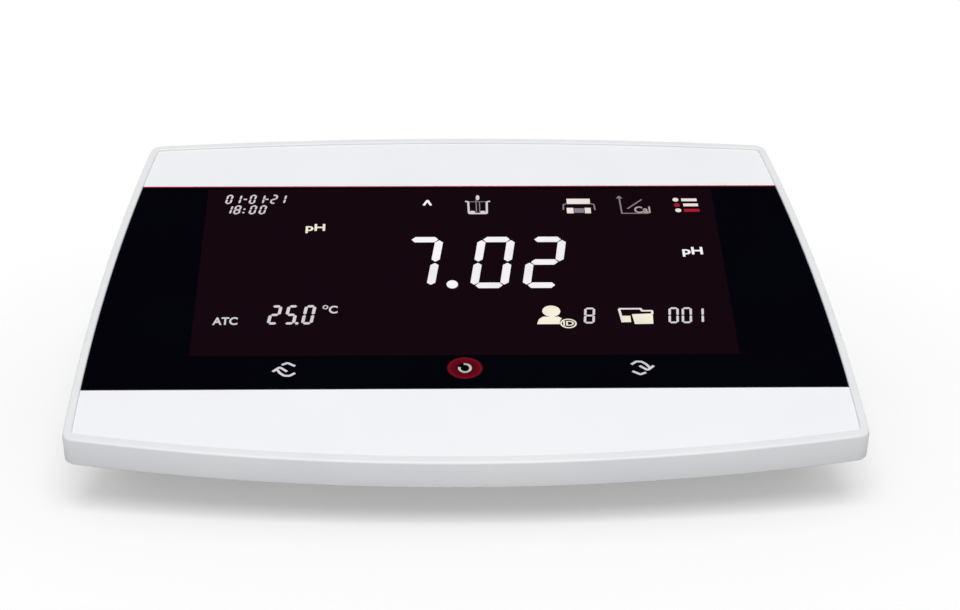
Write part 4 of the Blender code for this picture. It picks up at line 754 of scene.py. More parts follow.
def sheet_loops(line):
    """A flat sheet with a small rounded top edge. line(inset) is its outline."""
    loops = [(line(0.0), -SHEET_DROP - SHEET_THICKNESS)]
    edge_centre = (SHEET_EDGE, -SHEET_DROP - SHEET_EDGE)
    edge = arc(edge_centre, (SHEET_EDGE, SHEET_EDGE), 180.0, 90.0, SHEET_EDGE_STEPS)
    edge.append((SHEET_EDGE + FLAT_START, -SHEET_DROP))
    return loops + [(line(inset), level) for inset, level in edge]


def rear_line(inset):
    """The rear sheet's outline, from the lens to the rim."""
    edge = RIM_WIDTH + SEAM + inset
    rear_y = FACE_DEPTH / 2 - edge - REAR_RIM_EXTRA
    return outline(LENS_REAR + SEAM + inset, rear_y, 0.0, REAR_BOW, edge, (SEAM_CORNER, SHEET_CORNER))


def front_line(inset):
    """The front sheet's outline, from the rim to the lens."""
    edge = RIM_WIDTH + SEAM + inset
    front_y = edge + FRONT_RIM_EXTRA - FACE_DEPTH / 2
    return outline(front_y, LENS_FRONT - SEAM - inset, FRONT_BOW, 0.0, edge, (SHEET_CORNER, SEAM_CORNER))


def lens_line(inset):
    """The lens's outline, straight at its front and rear."""
    edge = RIM_WIDTH + SEAM + inset
    return outline(LENS_FRONT + inset, LENS_REAR - inset, 0.0, 0.0, edge, (SEAM_CORNER, SEAM_CORNER))


# Polyester sheet printed white on its back: a smooth gloss with hardly any relief.
white_gloss = moulded(
    "white polyester sheet, gloss", "F1F3F7", "F4F5F8", 0.16, 6.0 * MM, 0.004 * MM, Coat_Weight=0.3
)
for sheet, line in (("rear_fascia", rear_line), ("front_fascia", front_line)):
    add_piece(
        sheet + "_sheet",
        *skin(sheet_loops(line)),
        white_gloss,
        place=FACE,
        replaces=[sheet],
        slot="white_face",
    )

# Acrylic printed on its back: a deep blue-black under a polished surface.
black_lens = moulded("black printed acrylic lens", "030309", "04040B", 0.07, 9.0 * MM, 0.003 * MM)
# The same sheet with a smoked tint. Its warm red near-black is painted glow of the display's backlight, put
# into the colour, and it shows where the display is.
smoked_lens_painted_glow = moulded("smoked acrylic over the display, painted backlight glow", "14070E", "170810", 0.07, 9.0 * MM, 0.003 * MM)
window = rectangle(WINDOW_HALF_WIDTH, WINDOW_FRONT, WINDOW_REAR, WINDOW_CORNER)
lens = add_piece(
    "touch_lens_sheet",
    *skin([*sheet_loops(lens_line), (window, -SHEET_DROP)]),
    black_lens,
    place=FACE,
    replaces=["touch_lens"],
    slot="black_lens",
)
# The window gets the dark tint with the backlight's glow painted into its colour.
lens.data.materials.append(smoked_lens_painted_glow)
# The window is the one face of the lens that looks up and has the window's own size.
window_size = 2 * WINDOW_HALF_WIDTH * (WINDOW_REAR - WINDOW_FRONT)
least, most = (window_size * share for share in WINDOW_MATCH)
for face in lens.data.polygons:
    if least < face.area < most and face.normal.z > 0.0:
        face.material_index = 1

RED_LINE_WIDTH = 0.7 * MM
RED_CORNER = 0.1 * MM
PRINT_HEIGHT = 0.02 * MM
PRINT_SINK = 0.01 * MM
# Screen printing ink: a flat deep red with a slight gloss.
red_print = moulded("red screen print", "A01424", "AE1C2C", 0.3, 2.0 * MM, 0.002 * MM)
red_front = LENS_REAR + FLAT_START - RED_LINE_WIDTH
red_sides = RIM_WIDTH + SEAM + SHEET_EDGE
red_line = outline(red_front, LENS_REAR - SHEET_EDGE, 0.0, 0.0, red_sides, (RED_CORNER, RED_CORNER))
add_piece(
    "red_line",
    *skin([(red_line, -SHEET_DROP - PRINT_SINK), (red_line, -SHEET_DROP + PRINT_HEIGHT)]),
    red_print,
    place=FACE,
)


# ---------------------------------------------------------------- lit segments
# What the display shows: segments of the glass, lit from behind in white, in a warm white and in red.
# They are drawn as thin plates on the lens, because the smoked tint over them hides their depth.
LIGHT_PATCH = 12.0 * MM
LIGHT_LOSS = 0.88


def lit_finish(name, roughness):
    """A black surface that gives its own light. Its tree and shader come with it."""
    material, tree, shader = new_finish(name, roughness, Specular_IOR_Level=0.1, Emission_Strength=1.0)
    shader.inputs["Base Color"].default_value = linear("000000")
    return material, tree, shader


def glowing(name, colour):
    """A lit segment. Its light falls off a little in clouds, as a side-lit guide gives it."""
    material, tree, shader = lit_finish(name, 0.3)
    bright = linear(colour)
    weak = (*[LIGHT_LOSS * channel for channel in bright[:3]], 1.0)
    light = add_ramp(tree, cloud(tree, LIGHT_PATCH), [(0.3, weak), (0.6, bright)])
    tree.links.new(light, shader.inputs["Emission Color"])
    return material


# Liquid crystal segments seen through the smoked tint. The large ones are the whitest, the finest signs
# look grey, and a colour filter makes some of them warm and two of them red.
white_segment = glowing("white lit segment", "F8F5F8")
grey_segment = glowing("white lit segment, thin", "D8D4DA")
cream_segment = glowing("warm white lit segment", "F6F0DC")
broad_segment = glowing("white lit segment, broad", "EEE6E0")
dim_segment = glowing("white lit segment, dim", "8A7F8A")
red_segment = glowing("red lit segment", "A8162E")

# The display's middle lies a little left of the face's centre and above it. All marks start there.
DISPLAY_MIDDLE = (-0.2 * MM, 0.12 * MM, 0.0)
GLASS = FACE @ Matrix.Translation(DISPLAY_MIDDLE)
LIT_LOW = -SHEET_DROP - PRINT_SINK
LIT_HIGH = -SHEET_DROP + PRINT_HEIGHT


def plates(polygons):
    """Points and faces of thin closed plates, one for each polygon on the face."""
    points = []
    faces = []
    for polygon in polygons:
        count = len(polygon)
        start = len(points)
        points += [(x * MM, y * MM, LIT_LOW) for x, y in polygon]
        points += [(x * MM, y * MM, LIT_HIGH) for x, y in polygon]
        faces.append(tuple(range(start + count - 1, start - 1, -1)))
        faces.append(tuple(range(start + count, start + 2 * count)))
        for i in range(count):
            j = (i + 1) % count
            faces.append((start + i, start + j, start + count + j, start + count + i))
    return points, faces


def lit_piece(name, polygons, finish):
    """Lit plates as one piece on the lens."""
    add_piece(name, *plates(polygons), finish, place=GLASS)


def segment_shape(start, end, half, cap, gap):
    """A bar between two points with a pointed end of length cap at each, gap short of the points."""
    along = (Vector(end) - Vector(start)).normalized()
    across = Vector((-along.y, along.x)) * half
    first = Vector(start) + along * gap
    last = Vector(end) - along * gap
    shoulder = along * cap
    near = [first + shoulder + across, first, first + shoulder - across]
    return near + [last - shoulder - across, last, last - shoulder + across]


LIT_PARTS = {
    "0": "abcdef",
    "1": "bc",
    "2": "abged",
    "5": "afgcd",
    "7": "abc",
    "8": "abcdefg",
}
LEVEL_BAR_SHARE = 1.15
POINT_SHARE = 0.9
GAP_SHARE = 0.3


def digit(character, left, bottom, width, height, bar, slant):
    """The lit segments of one seven-segment character, in millimetres, leaning by slant."""
    half = bar / 2
    left_x, right_x = half, width - half
    low_y, middle_y, high_y = half, height / 2, height - half
    runs = {
        "a": ((left_x, high_y), (right_x, high_y)),
        "b": ((right_x, middle_y), (right_x, high_y)),
        "c": ((right_x, low_y), (right_x, middle_y)),
        "d": ((left_x, low_y), (right_x, low_y)),
        "e": ((left_x, low_y), (left_x, middle_y)),
        "f": ((left_x, middle_y), (left_x, high_y)),
        "g": ((left_x, middle_y), (right_x, middle_y)),
    }
    shapes = []
    for part in LIT_PARTS[character]:
        thick = half * (LEVEL_BAR_SHARE if part in "adg" else 1.0)
        shape = segment_shape(*runs[part], thick, half * POINT_SHARE, half * GAP_SHARE)
        shapes.append([(left + x + slant * y, bottom + y) for x, y in shape])
    return shapes


def digits(rows):
    """The segments of (characters with their left edges, bottom, size) rows."""
    shapes = []
    for characters, bottom, size in rows:
        for character, left in characters:
            shapes += digit(character, left, bottom, *size)
    return shapes


def ellipse(x, y, radius_x, radius_y, steps=28):
    """An oval dot or ring line, in millimetres."""
    return arc((x, y), (radius_x, radius_y), 0.0, 360.0 * (steps - 1) / steps, steps - 1)


def box_shape(left, front, right, rear):
    """An upright rectangle, in millimetres."""
    return [(left, front), (right, front), (right, rear), (left, rear)]


# Sizes of digits in millimetres: width, height, thickness of a bar, and lean.
READING = (12.0, 28.1, 2.6, 0.12)
TEMPERATURE = (3.6, 9.9, 1.0, 0.11)
DATE = (2.1, 5.3, 0.62, 0.13)
CLOCK = (2.2, 5.1, 0.62, 0.15)
USER = (3.4, 8.2, 0.75, 0.08)
FOLDER = (3.2, 8.2, 0.75, 0.08)

reading = digits([((("7", -20.9), ("0", 2.2), ("2", 18.7)), -0.4, READING)])
reading.append(ellipse(-3.2, 1.5, 1.8, 2.2))
lit_piece("reading_segments", reading, white_segment)

day_and_month = (("0", -77.4), ("1", -74.5), ("0", -69.7), ("1", -66.8))
small = digits(
    [
        ((("2", -60.6), ("5", -55.5), ("0", -50.1)), -19.4, TEMPERATURE),
        ((*day_and_month, ("2", -62.7), ("1", -59.8)), 47.6, DATE),
        ((("1", -77.3), ("8", -74.5), ("0", -69.4), ("0", -66.2)), 41.5, CLOCK),
        ((("8", 37.0),), -19.5, USER),
        ((("0", 63.2), ("0", 67.3), ("1", 71.0)), -19.5, FOLDER),
    ]
)
small += [ellipse(-51.3, -18.9, 0.55, 0.65, 16)]
small += [box_shape(left, 49.9, left + 1.1, 50.6) for left in (-71.3, -64.2)]
small += [ellipse(-71.0, 42.4, 0.4, 0.4, 12), ellipse(-70.7, 44.4, 0.4, 0.4, 12)]
lit_piece("small_digit_segments", small, grey_segment)


# Each thin sign is a line of one width, so one tree draws them all: it sweeps a flat bar along the path.
LENGTH = "NodeSocketFloat"
BEND_STEPS = 4
stroke_tree, given = new_tree("flat strokes", [("Width", LENGTH), ("Height", LENGTH), ("Bend", LENGTH)])
rounded = add_node(
    stroke_tree,
    "GeometryNodeFilletCurve",
    {"Curve": given["Geometry"], "Count": BEND_STEPS, "Radius": given["Bend"], "Limit Radius": True},
    mode="POLY",
)
level = add_node(stroke_tree, "GeometryNodeSetCurveNormal", {"Curve": rounded.outputs[0]}, mode="Z_UP")
bar = add_node(
    stroke_tree,
    "GeometryNodeCurvePrimitiveQuadrilateral",
    {"Width": given["Width"], "Height": given["Height"]},
)
swept = add_node(
    stroke_tree,
    "GeometryNodeCurveToMesh",
    {"Curve": level.outputs[0], "Profile Curve": bar.outputs[0], "Fill Caps": True},
)
end_tree(stroke_tree, swept.outputs[0], given["Finish"])


def strokes(name, paths, width, finish, bend=0.5):
    """Lit lines along paths on the face, in millimetres."""
    curve = bpy.data.curves.new(name, "CURVE")
    curve.dimensions = "3D"
    for path in paths:
        spline = curve.splines.new("POLY")
        spline.points.add(len(path) - 1)
        for point, (x, y) in zip(spline.points, path):
            point.co = (x * MM, y * MM, (LIT_LOW + LIT_HIGH) / 2, 1.0)
    sizes = {"Finish": finish, "Width": width * MM, "Height": LIT_HIGH - LIT_LOW, "Bend": bend * MM}
    mesh = grow(bpy.data.objects.new(name, curve), stroke_tree, sizes)
    dress(name, mesh, None, place=GLASS)


LETTER_WEIGHT = 0.025
LETTER_DEPTH = 0.5


def word(name, text, left, front, right, rear, finish):
    """A generic unit or short word, set in the plain built-in face and fitted to its place on the glass."""
    letters = bpy.data.curves.new(name, "FONT")
    letters.body = text
    letters.offset = LETTER_WEIGHT
    letters.extrude = LETTER_DEPTH
    holder = bpy.data.objects.new(name, letters)
    bpy.context.scene.collection.objects.link(holder)
    graph = bpy.context.evaluated_depsgraph_get()
    mesh = bpy.data.meshes.new_from_object(holder.evaluated_get(graph))
    bpy.data.objects.remove(holder)
    xs = [vertex.co.x for vertex in mesh.vertices]
    ys = [vertex.co.y for vertex in mesh.vertices]
    width_scale = (right - left) * MM / (max(xs) - min(xs))
    height_scale = (rear - front) * MM / (max(ys) - min(ys))
    fit = Matrix.Diagonal((width_scale, height_scale, LIT_HIGH - LIT_LOW, 1.0))
    fit = Matrix.Translation((left * MM, front * MM, (LIT_LOW + LIT_HIGH) / 2)) @ fit
    mesh.transform(fit @ Matrix.Translation((-min(xs), -min(ys), 0.0)))
    dress(name, mesh, finish, place=GLASS)


# A small word of thin strokes looks greyer still.
dim_word = glowing("white lit word, dim", "B0A6A6")
word("ph_unit_left", "pH", -50.3, 30.4, -44.0, 35.6, cream_segment)
word("ph_unit_right", "pH", 70.9, 16.4, 77.5, 21.8, white_segment)
word("compensation_sign", "ATC", -77.2, -19.6, -69.5, -15.6, grey_segment)
word("degree_letter", "C", -41.6, -13.8, -38.9, -9.8, grey_segment)
word("calibration_word", "Cal", 57.2, 41.6, 62.5, 45.4, dim_word)
word("user_badge_word", "ID", 30.7, -20.6, 34.0, -18.2, cream_segment)

beaker = [(1.7, 48.8), (2.7, 48.4), (2.8, 41.5), (8.7, 41.5), (8.8, 48.4), (9.9, 48.8)]
strokes("beaker_sign", [beaker], 0.7, grey_segment)
shaft_and_level = [[(2.8, 48.5), (8.7, 48.5)], [(5.3, 50.0), (5.3, 42.4)], [(6.4, 48.5), (6.4, 42.4)]]
strokes("shaft_sign", shaft_and_level, 0.35, dim_segment)
stirrer = [ellipse(5.85, 50.9, 0.6, 1.5), ellipse(4.0, 42.3, 0.9, 0.8), ellipse(7.4, 42.3, 0.9, 0.8)]
lit_piece("stirrer_sign", stirrer, grey_segment)
strokes("stable_sign", [[(-12.0, 46.4), (-10.7, 49.4), (-9.6, 46.4)]], 0.8, white_segment, 0.1)
printer_sides = [[(35.0, 47.1), (34.0, 46.7), (33.9, 43.6)], [(43.1, 47.1), (44.1, 46.7), (44.3, 43.4)]]
strokes("printer_sides", printer_sides, 0.5, dim_segment)
axes = [
    [(52.7, 51.2), (53.0, 41.4), (62.0, 41.4)],
    [(51.9, 50.2), (52.7, 51.6), (53.5, 50.2)],
    [(55.0, 44.1), (60.1, 49.6)],
]
strokes("calibration_axes", axes, 0.5, dim_segment, 0.1)
strokes("user_badge_ring", [ellipse(32.3, -19.5, 2.3, 2.2) + [(34.6, -19.5)]], 0.5, cream_segment)
folder_back = [
    [(48.4, -11.9), (55.1, -11.9), (55.5, -13.0), (58.6, -13.0), (58.6, -14.6)],
    [(48.4, -11.9), (49.1, -19.0)],
]
strokes("folder_back", folder_back, 0.75, broad_segment, 0.2)
broad = [
    box_shape(35.2, 47.0, 42.9, 50.1),
    box_shape(35.0, 41.5, 37.2, 44.7),
    box_shape(40.9, 41.5, 42.9, 44.7),
    ellipse(71.3, 49.4, 1.0, 1.1),
    ellipse(71.7, 43.1, 1.0, 1.1),
    box_shape(73.2, 48.5, 78.3, 50.1),
    box_shape(73.6, 45.5, 78.5, 47.1),
]
lit_piece("printer_and_list_signs", broad, broad_segment)
shoulders = [(22.6, -19.8), (29.6, -19.8), (29.8, -18.0), (30.4, -16.8), (29.4, -15.9), (24.6, -15.9)]
warm = [
    ellipse(27.3, -13.0, 2.8, 2.9, 40),
    [*shoulders, (23.3, -17.2)],
    box_shape(49.2, -18.9, 51.7, -15.6),
    [(52.2, -14.8), (58.7, -14.4), (58.5, -19.8), (52.8, -19.9)],
]
lit_piece("user_and_folder_signs", warm, cream_segment)
lit_piece("printer_tray", [box_shape(37.4, 41.8, 40.7, 44.4)], dim_segment)
red_signs = [ellipse(71.5, 46.2, 1.0, 1.1), box_shape(73.6, 42.2, 78.7, 43.9)]
lit_piece("red_signs", red_signs, red_segment)
strokes("degree_sign", [ellipse(-42.7, -10.5, 0.7, 0.9, 14) + [(-42.0, -10.5)]], 0.4, grey_segment)


# ---------------------------------------------------------------- key marks
# The three keys have no travel. Each is a mark printed on the back of the lens and lit from below: an open
# ring for power inside a red ring of light, and a waving hand over each touchless sensor.
POWER_KEY = (0.0, -41.9)
RED_RING = (2.15, 5.5)
MARK_RADII = (1.7, 2.05)
MARK_ANGLES = (101.0, -193.0)
MARK_STEPS = 30

# Red light from the ring under the lens: it grows outwards and dies away at the rim.
ring_material, tree, shader = lit_finish("red light through the lens", 0.25)
centre = GLASS @ Vector((POWER_KEY[0] * MM, POWER_KEY[1] * MM, -SHEET_DROP))
where = add_node(tree, "ShaderNodeTexCoord").outputs["Object"]
reach = add_node(tree, "ShaderNodeVectorMath", {0: where, 1: tuple(centre)}, operation="DISTANCE")
share = add_node(
    tree,
    "ShaderNodeMapRange",
    {"Value": reach.outputs["Value"], "From Min": RED_RING[0] * MM, "From Max": RED_RING[1] * MM},
)
glow = add_ramp(
    tree,
    share.outputs[0],
    [
        (0.0, linear("1E0207")),
        (0.22, linear("4E0A18")),
        (0.32, linear("5E0210")),
        (0.66, linear("6C0212")),
        (0.8, linear("701228")),
        (1.0, linear("06020A")),
    ],
)
tree.links.new(glow, shader.inputs["Emission Color"])


def ring_plate(centre_x, centre_y, inner, outer, steps=64):
    """A thin flat ring on the lens, in millimetres."""
    profile = [
        (inner * MM, LIT_LOW),
        (outer * MM, LIT_LOW),
        (outer * MM, LIT_HIGH),
        (inner * MM, LIT_HIGH),
    ]
    points, faces = turned(profile, steps)
    return [(x + centre_x * MM, y + centre_y * MM, z) for x, y, z in points], faces


add_piece("power_ring_light", *ring_plate(*POWER_KEY, *RED_RING), ring_material, place=GLASS)
# White print lit from below: greyer than the segments of the display.
power_mark = arc(POWER_KEY, MARK_RADII, *MARK_ANGLES, MARK_STEPS)
strokes("power_mark", [power_mark], 0.8, glowing("white lit key mark", "C6C2BB"))

HAND_LEFT = (-54.1, -42.4)
HAND_RIGHT = (53.4, -42.0)
HAND_STROKE = 0.85
finger = [(-3.5, -0.9), (-1.5, 1.3), (0.8, -0.9)]
palm = [(-2.3, 0.2), (-1.3, -1.6), (0.0, -2.9), (1.6, -3.0), (3.2, -1.6)]
thumb = [(-0.9, 2.4), (0.8, 3.4), (3.1, 1.8)]


def hand_mark(name, middle, turn):
    """A hand drawn in three strokes, turned half round on the right."""
    paths = []
    for stroke in (finger, palm, thumb):
        paths.append([(middle[0] + turn * x, middle[1] + turn * y) for x, y in stroke])
    strokes(name, paths, HAND_STROKE, grey_segment)


hand_mark("hand_mark_left", HAND_LEFT, 1)
hand_mark("hand_mark_right", HAND_RIGHT, -1)


# ---------------------------------------------------------------- closing screws
# Steel screws with a hexagon socket and a bright zinc plating. Those of the case are driven in from below,
# the others hold the display tray and the main board.
TARNISH_SIZE = 3.0 * MM
RING_STRETCH = (0.15, 1.0, 0.15)
RING_GLOSS = (0.7, 1.4)
RING_STRENGTH = 0.4
RING_DEPTH = 0.01 * MM


def turned_metal(name, low, high, roughness, spin):
    """Plated metal with the fine rings that the lathe left, about spin metres apart along a jack's axis."""
    material, tree, shader = new_finish(name, roughness, metallic=1.0)
    tarnish = cloud(tree, TARNISH_SIZE, detail=4.0)
    colour = add_ramp(tree, tarnish, [(0.35, linear(low)), (0.65, linear(high))])
    tree.links.new(colour, shader.inputs["Base Color"])
    rings = cloud(tree, spin, detail=1.0, stretch=RING_STRETCH)
    add_gloss(tree, shader, rings, roughness, *RING_GLOSS)
    add_relief(tree, shader, rings, RING_STRENGTH, RING_DEPTH)
    return material


def hexagon(apothem, clip=math.inf):
    """The radius of a hexagon as a function of the angle, no more than clip."""
    half_side = math.pi / 6
    return lambda angle: min(clip, apothem / math.cos((angle + half_side) % (2 * half_side) - half_side))


# Steel with a bright zinc plating: a cool, slightly cloudy grey shine with fine tool marks.
zinc = turned_metal("zinc-plated steel screw", "A9AAAD", "B8B9BC", 0.3, 0.4 * MM)
HEAD_HEIGHT = 1.8 * MM
HEAD_ROUND = 0.8 * MM
SOCKET = 1.25 * MM
SOCKET_DEPTH = 0.9 * MM
SHAFT_RADIUS = 1.5 * MM
SHAFT_POINT = 1.2 * MM
SCREW_STEPS = 24
heads = sorted(name for name in nodes if name.startswith("housing_screw_"))
boxes = [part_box(screw) for screw in heads]
low, high = boxes[0]
radius = (high.x - low.x) / 2
edge = arc((radius - HEAD_ROUND, HEAD_ROUND), (HEAD_ROUND, HEAD_ROUND), -90.0, 0.0, ROUND_STEPS)
socket = [(0.0, SOCKET_DEPTH), (hexagon(SOCKET), SOCKET_DEPTH), (hexagon(SOCKET), 0.0)]
length = high.z - low.z
shaft = [(radius, HEAD_HEIGHT), (SHAFT_RADIUS, HEAD_HEIGHT)]
shaft += [(SHAFT_RADIUS, length - SHAFT_POINT), (0.0, length)]
case_screw = turned([*socket, *edge, *shaft], SCREW_STEPS)
copies("case_screws", case_screw, middles(boxes), zinc, replaces=heads)
for screw in sorted(name for name in nodes if name.startswith(("tray_screw_", "board_screw_"))):
    finish_node(screw, zinc)


# ---------------------------------------------------------------- rear jacks
# The jacks stand through the panel from the connector board. Shells and nuts are nickel-plated brass or
# tinned steel, bodies are black PBT, and the electrode jack is insulated with white PTFE.
PANEL_Y = 69.89 * MM
JACK_ROW = 30.0 * MM


def on_panel(x, out=0.0):
    """The place whose local Z points out of the jack panel, out from its face. Its local Y points down."""
    return Matrix.Translation((x, PANEL_Y + out, JACK_ROW)) @ Matrix.Rotation(-math.pi / 2, 4, "X")


# Turned brass under nickel: a warm grey metal with bright bands round the axis.
nickel = turned_metal("nickel-plated brass, turned", "B5B1A9", "C4C0B8", 0.24, 0.35 * MM)
# Turned brass under gold: a yellow metal, brighter than the nickel beside it.
gilt = turned_metal("gold-plated contact", "C9A04A", "D9B35C", 0.25, 0.3 * MM)
# PTFE cut on the lathe: a waxy, soft white without a highlight.
ptfe = moulded("white PTFE insulator", "DADAD6", "E4E4E0", 0.45, 0.8 * MM, 0.01 * MM)
JACK_ANGLE = 35.0
for jack in ("ph_jack", "temperature_jack"):
    merged_copy(jack, nickel, JACK_ANGLE)
for jack in ("reference_jack", "stirrer_jack"):
    merged_copy(jack, black_pbt, JACK_ANGLE)
finish_node("ph_jack_insulator", ptfe)
finish_node("ph_jack_contact", gilt)

PH_JACK_X = -72.0 * MM
NUT_APOTHEM = 7.0 * MM
NUT_CORNER = 7.5 * MM
NUT_BORE = 5.1 * MM
NUT_SPAN = (0.3 * MM, 2.7 * MM)
NUT_CHAMFER = 0.35 * MM
NUT_ANGLE = 20.0
NUT_STEPS = 72
full = hexagon(NUT_APOTHEM)
clipped = hexagon(NUT_APOTHEM, NUT_CORNER)
nut_low, nut_high = NUT_SPAN
nut = [
    (NUT_BORE, nut_low),
    (clipped, nut_low),
    (full, nut_low + NUT_CHAMFER),
    (full, nut_high - NUT_CHAMFER),
    (clipped, nut_high),
    (NUT_BORE, nut_high),
]
add_piece(
    "electrode_jack_nut",
    *turned(nut, NUT_STEPS),
    nickel,
    place=on_panel(PH_JACK_X),
    angle=NUT_ANGLE,
    replaces=["ph_jack_nut"],
    slot="nickel",
)

# The nine-way serial port: a drawn steel shell and flange, a black block in it and nine gilt pins.
SERIAL_X = 47.0 * MM
SHELL_HALF_WIDTH = 8.3 * MM
SHELL_HALF_HEIGHT = 4.3 * MM
SHELL_SLOPE = 0.17
SHELL_CORNER = 2.0 * MM
SHELL_END = 6.0 * MM
SHELL_WALL = 0.55 * MM
SHELL_LIP = 0.2 * MM
BLOCK_TOP = 1.6 * MM
BLOCK_OVERLAP = 0.05 * MM
BLOCK_SINK = 1.0 * MM
FLANGE = (15.4 * MM, 6.25 * MM)
FLANGE_SPAN = (0.3 * MM, 1.1 * MM)
FLANGE_ROUND = 0.25 * MM
FLANGE_CORNER = 1.0 * MM
FLANGE_TOP_CORNER = 0.8 * MM
PIN_RADIUS = 0.5 * MM
PIN_TOP = 5.4 * MM
PIN_PITCH = 2.77 * MM
PIN_ROW = 1.42 * MM
PIN_SINK = 0.4 * MM
PIN_STEPS = 16
PIN_TIP_STEPS = 4


def shell_line(inset):
    """The D-shaped outline of the serial port, held inset from its shell."""
    high = SHELL_HALF_HEIGHT - inset
    radii = (SHELL_CORNER - inset, SHELL_CORNER - inset)
    return outline(-high, high, 0.0, 0.0, 0.0, radii, lambda y: SHELL_HALF_WIDTH - inset - SHELL_SLOPE * y)


on_serial = on_panel(SERIAL_X)
port_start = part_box("serial_port")[0].y - PANEL_Y
shell_loops = [
    (shell_line(0.0), port_start),
    (shell_line(0.0), SHELL_END - SHELL_LIP),
    (shell_line(SHELL_LIP), SHELL_END),
    (shell_line(SHELL_WALL), SHELL_END),
    (shell_line(SHELL_WALL), BLOCK_TOP - BLOCK_SINK),
]
add_piece(
    "serial_port_shell",
    *skin(shell_loops),
    tin_plate,
    place=on_serial,
    replaces=["serial_port"],
    slot="tin_plate",
)


def flange_line(inset, corner):
    """The flange's outline, held inset from its edge."""
    half_width, half_height = (size - inset for size in FLANGE)
    return rectangle(half_width, -half_height, half_height, corner)


flange_low, flange_high = FLANGE_SPAN
flange_loops = [
    (flange_line(0.0, FLANGE_CORNER), flange_low),
    (flange_line(0.0, FLANGE_CORNER), flange_high - FLANGE_ROUND),
    (flange_line(FLANGE_ROUND, FLANGE_TOP_CORNER), flange_high),
]
add_piece("serial_port_flange", *skin(flange_loops), tin_plate, place=on_serial)
block = shell_line(SHELL_WALL - BLOCK_OVERLAP)
add_piece("serial_port_block", *skin([(block, 0.0), (block, BLOCK_TOP)]), black_pbt, place=on_serial)
pin_tip = arc((0.0, PIN_TOP - PIN_RADIUS), (PIN_RADIUS, PIN_RADIUS), 0.0, 90.0, PIN_TIP_STEPS)
pin_foot = BLOCK_TOP - PIN_SINK
pin = [(0.0, pin_foot), (PIN_RADIUS, pin_foot), *pin_tip[:-1], (0.0, PIN_TOP)]
spots = [(i * PIN_PITCH, -PIN_ROW, 0.0) for i in (-2, -1, 0, 1, 2)]
spots += [(i * PIN_PITCH, PIN_ROW, 0.0) for i in (-1.5, -0.5, 0.5, 1.5)]
copies("serial_port_pins", turned(pin, PIN_STEPS), spots, gilt, place=on_serial)
for jackscrew in ("serial_jackscrew_left", "serial_jackscrew_right"):
    finish_node(jackscrew, nickel)

# The two square data ports have a black tongue with four gilt contacts each.
PORT_FLOOR = -7.6 * MM
TONGUE_TOP = 0.25 * MM
TONGUE_SKIN = 0.05 * MM
TONGUE_CHAMFER = 0.15 * MM
CONTACT = (0.5 * MM, 0.08 * MM)
CONTACT_SPAN = (TONGUE_TOP - 6.0 * MM, TONGUE_TOP - 0.4 * MM)
CONTACT_CHAMFER = 0.03 * MM


def bar_shape(half_width, half_height, start, end, shift, chamfer):
    """A bar out of the panel with its free end chamfered."""
    loops = []
    for inset, level in ((0.0, start), (0.0, end - chamfer), (chamfer / 2, end)):
        height = half_height - inset
        loops.append((rectangle(half_width - inset, shift - height, shift + height, chamfer), level))
    return skin(loops)


# In millimetres: a port's place, half its tongue's width and height, the tongue's shift, and its contacts.
PORTS = (
    ("usb_a_port", -3.0, 5.55, 0.9, -1.2, ((-3.5, -0.28), (-1.0, -0.28), (1.0, -0.28), (3.5, -0.28))),
    ("usb_b_port", 18.0, 2.8, 1.6, 0.0, ((-1.25, -1.66), (1.25, -1.66), (-1.25, 1.66), (1.25, 1.66))),
)
contact = bar_shape(*CONTACT, *CONTACT_SPAN, 0.0, CONTACT_CHAMFER)
for port, x, half_width, half_height, shift, contact_spots in PORTS:
    finish_node(port, tin_plate)
    tongue_size = (half_width * MM + TONGUE_SKIN, half_height * MM + TONGUE_SKIN)
    tongue = bar_shape(*tongue_size, PORT_FLOOR, TONGUE_TOP, shift * MM, TONGUE_CHAMFER)
    add_piece(port + "_tongue", *tongue, black_pbt, place=on_panel(x * MM))
    spots = [(spot_x * MM, spot_y * MM, 0.0) for spot_x, spot_y in contact_spots]
    copies(port + "_contacts", contact, spots, gilt, place=on_panel(x * MM))

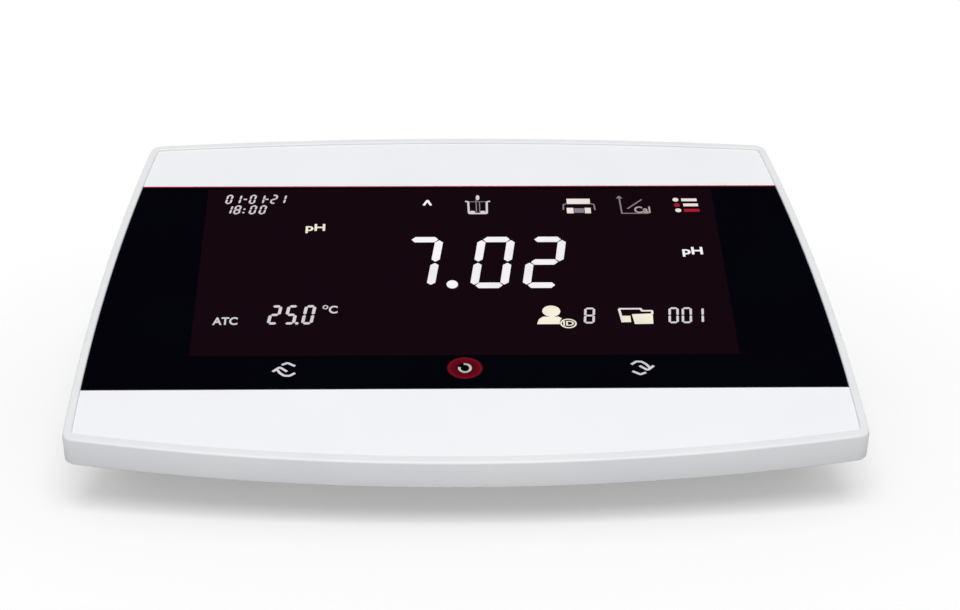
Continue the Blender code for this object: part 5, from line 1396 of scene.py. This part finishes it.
# The round power inlet has a nickel centre pin.
INLET_X = 75.0 * MM
INLET_PIN_RADIUS = 1.05 * MM
INLET_PIN_TOP = 1.3 * MM
INLET_PIN_ROUND = 0.4 * MM
INLET_PIN_STEPS = 24
finish_node("power_inlet", black_pbt)
tip_radii = (INLET_PIN_RADIUS, INLET_PIN_ROUND)
tip = arc((0.0, INLET_PIN_TOP - INLET_PIN_ROUND), tip_radii, 0.0, 90.0, ROUND_STEPS)
inlet_pin = [(0.0, PORT_FLOOR), (INLET_PIN_RADIUS, PORT_FLOOR), *tip[:-1], (0.0, INLET_PIN_TOP)]
add_piece("power_inlet_pin", *turned(inlet_pin, INLET_PIN_STEPS), nickel, place=on_panel(INLET_X))


# ---------------------------------------------------------------- shorting cap
# A turned brass cap, nickel plated, that shorts the electrode jack. Its ribbed sleeve turns and draws back
# on the two lugs of the jack, and the plug inside it slides out.
for piece in ("shorting_plug", "bayonet_sleeve"):
    merged_copy(piece, nickel, JACK_ANGLE)

RIB_COUNT = 44
RIB_RADIUS = 7.2 * MM
RIB_SIZE = (0.36 * MM, 0.5 * MM, 4.6 * MM)
RIB_MIDDLE = 12.8 * MM
rib_tree, given = new_tree(
    "ribs round a barrel", [("Count", "NodeSocketInt"), ("Radius", LENGTH), ("Size", "NodeSocketVector")]
)
circle = add_node(
    rib_tree, "GeometryNodeMeshCircle", {"Vertices": given["Count"], "Radius": given["Radius"]}
)
rib = add_node(rib_tree, "GeometryNodeMeshCube", {"Size": given["Size"]})
centre = add_node(rib_tree, "GeometryNodeInputPosition").outputs[0]
outward = add_node(rib_tree, "FunctionNodeAlignRotationToVector", {"Vector": centre}, axis="X")
placed = add_node(
    rib_tree,
    "GeometryNodeInstanceOnPoints",
    {"Points": circle.outputs[0], "Instance": rib.outputs[0], "Rotation": outward.outputs[0]},
)
end_tree(rib_tree, placed.outputs[0], given["Finish"])
sizes = {"Finish": nickel, "Count": RIB_COUNT, "Radius": RIB_RADIUS, "Size": RIB_SIZE}
source = bpy.data.objects.new("sleeve_ribs", bpy.data.meshes.new("sleeve_ribs"))
ribs = grow(source, rib_tree, sizes)
dress("sleeve_ribs", ribs, None, "sleeve", on_panel(PH_JACK_X, RIB_MIDDLE))
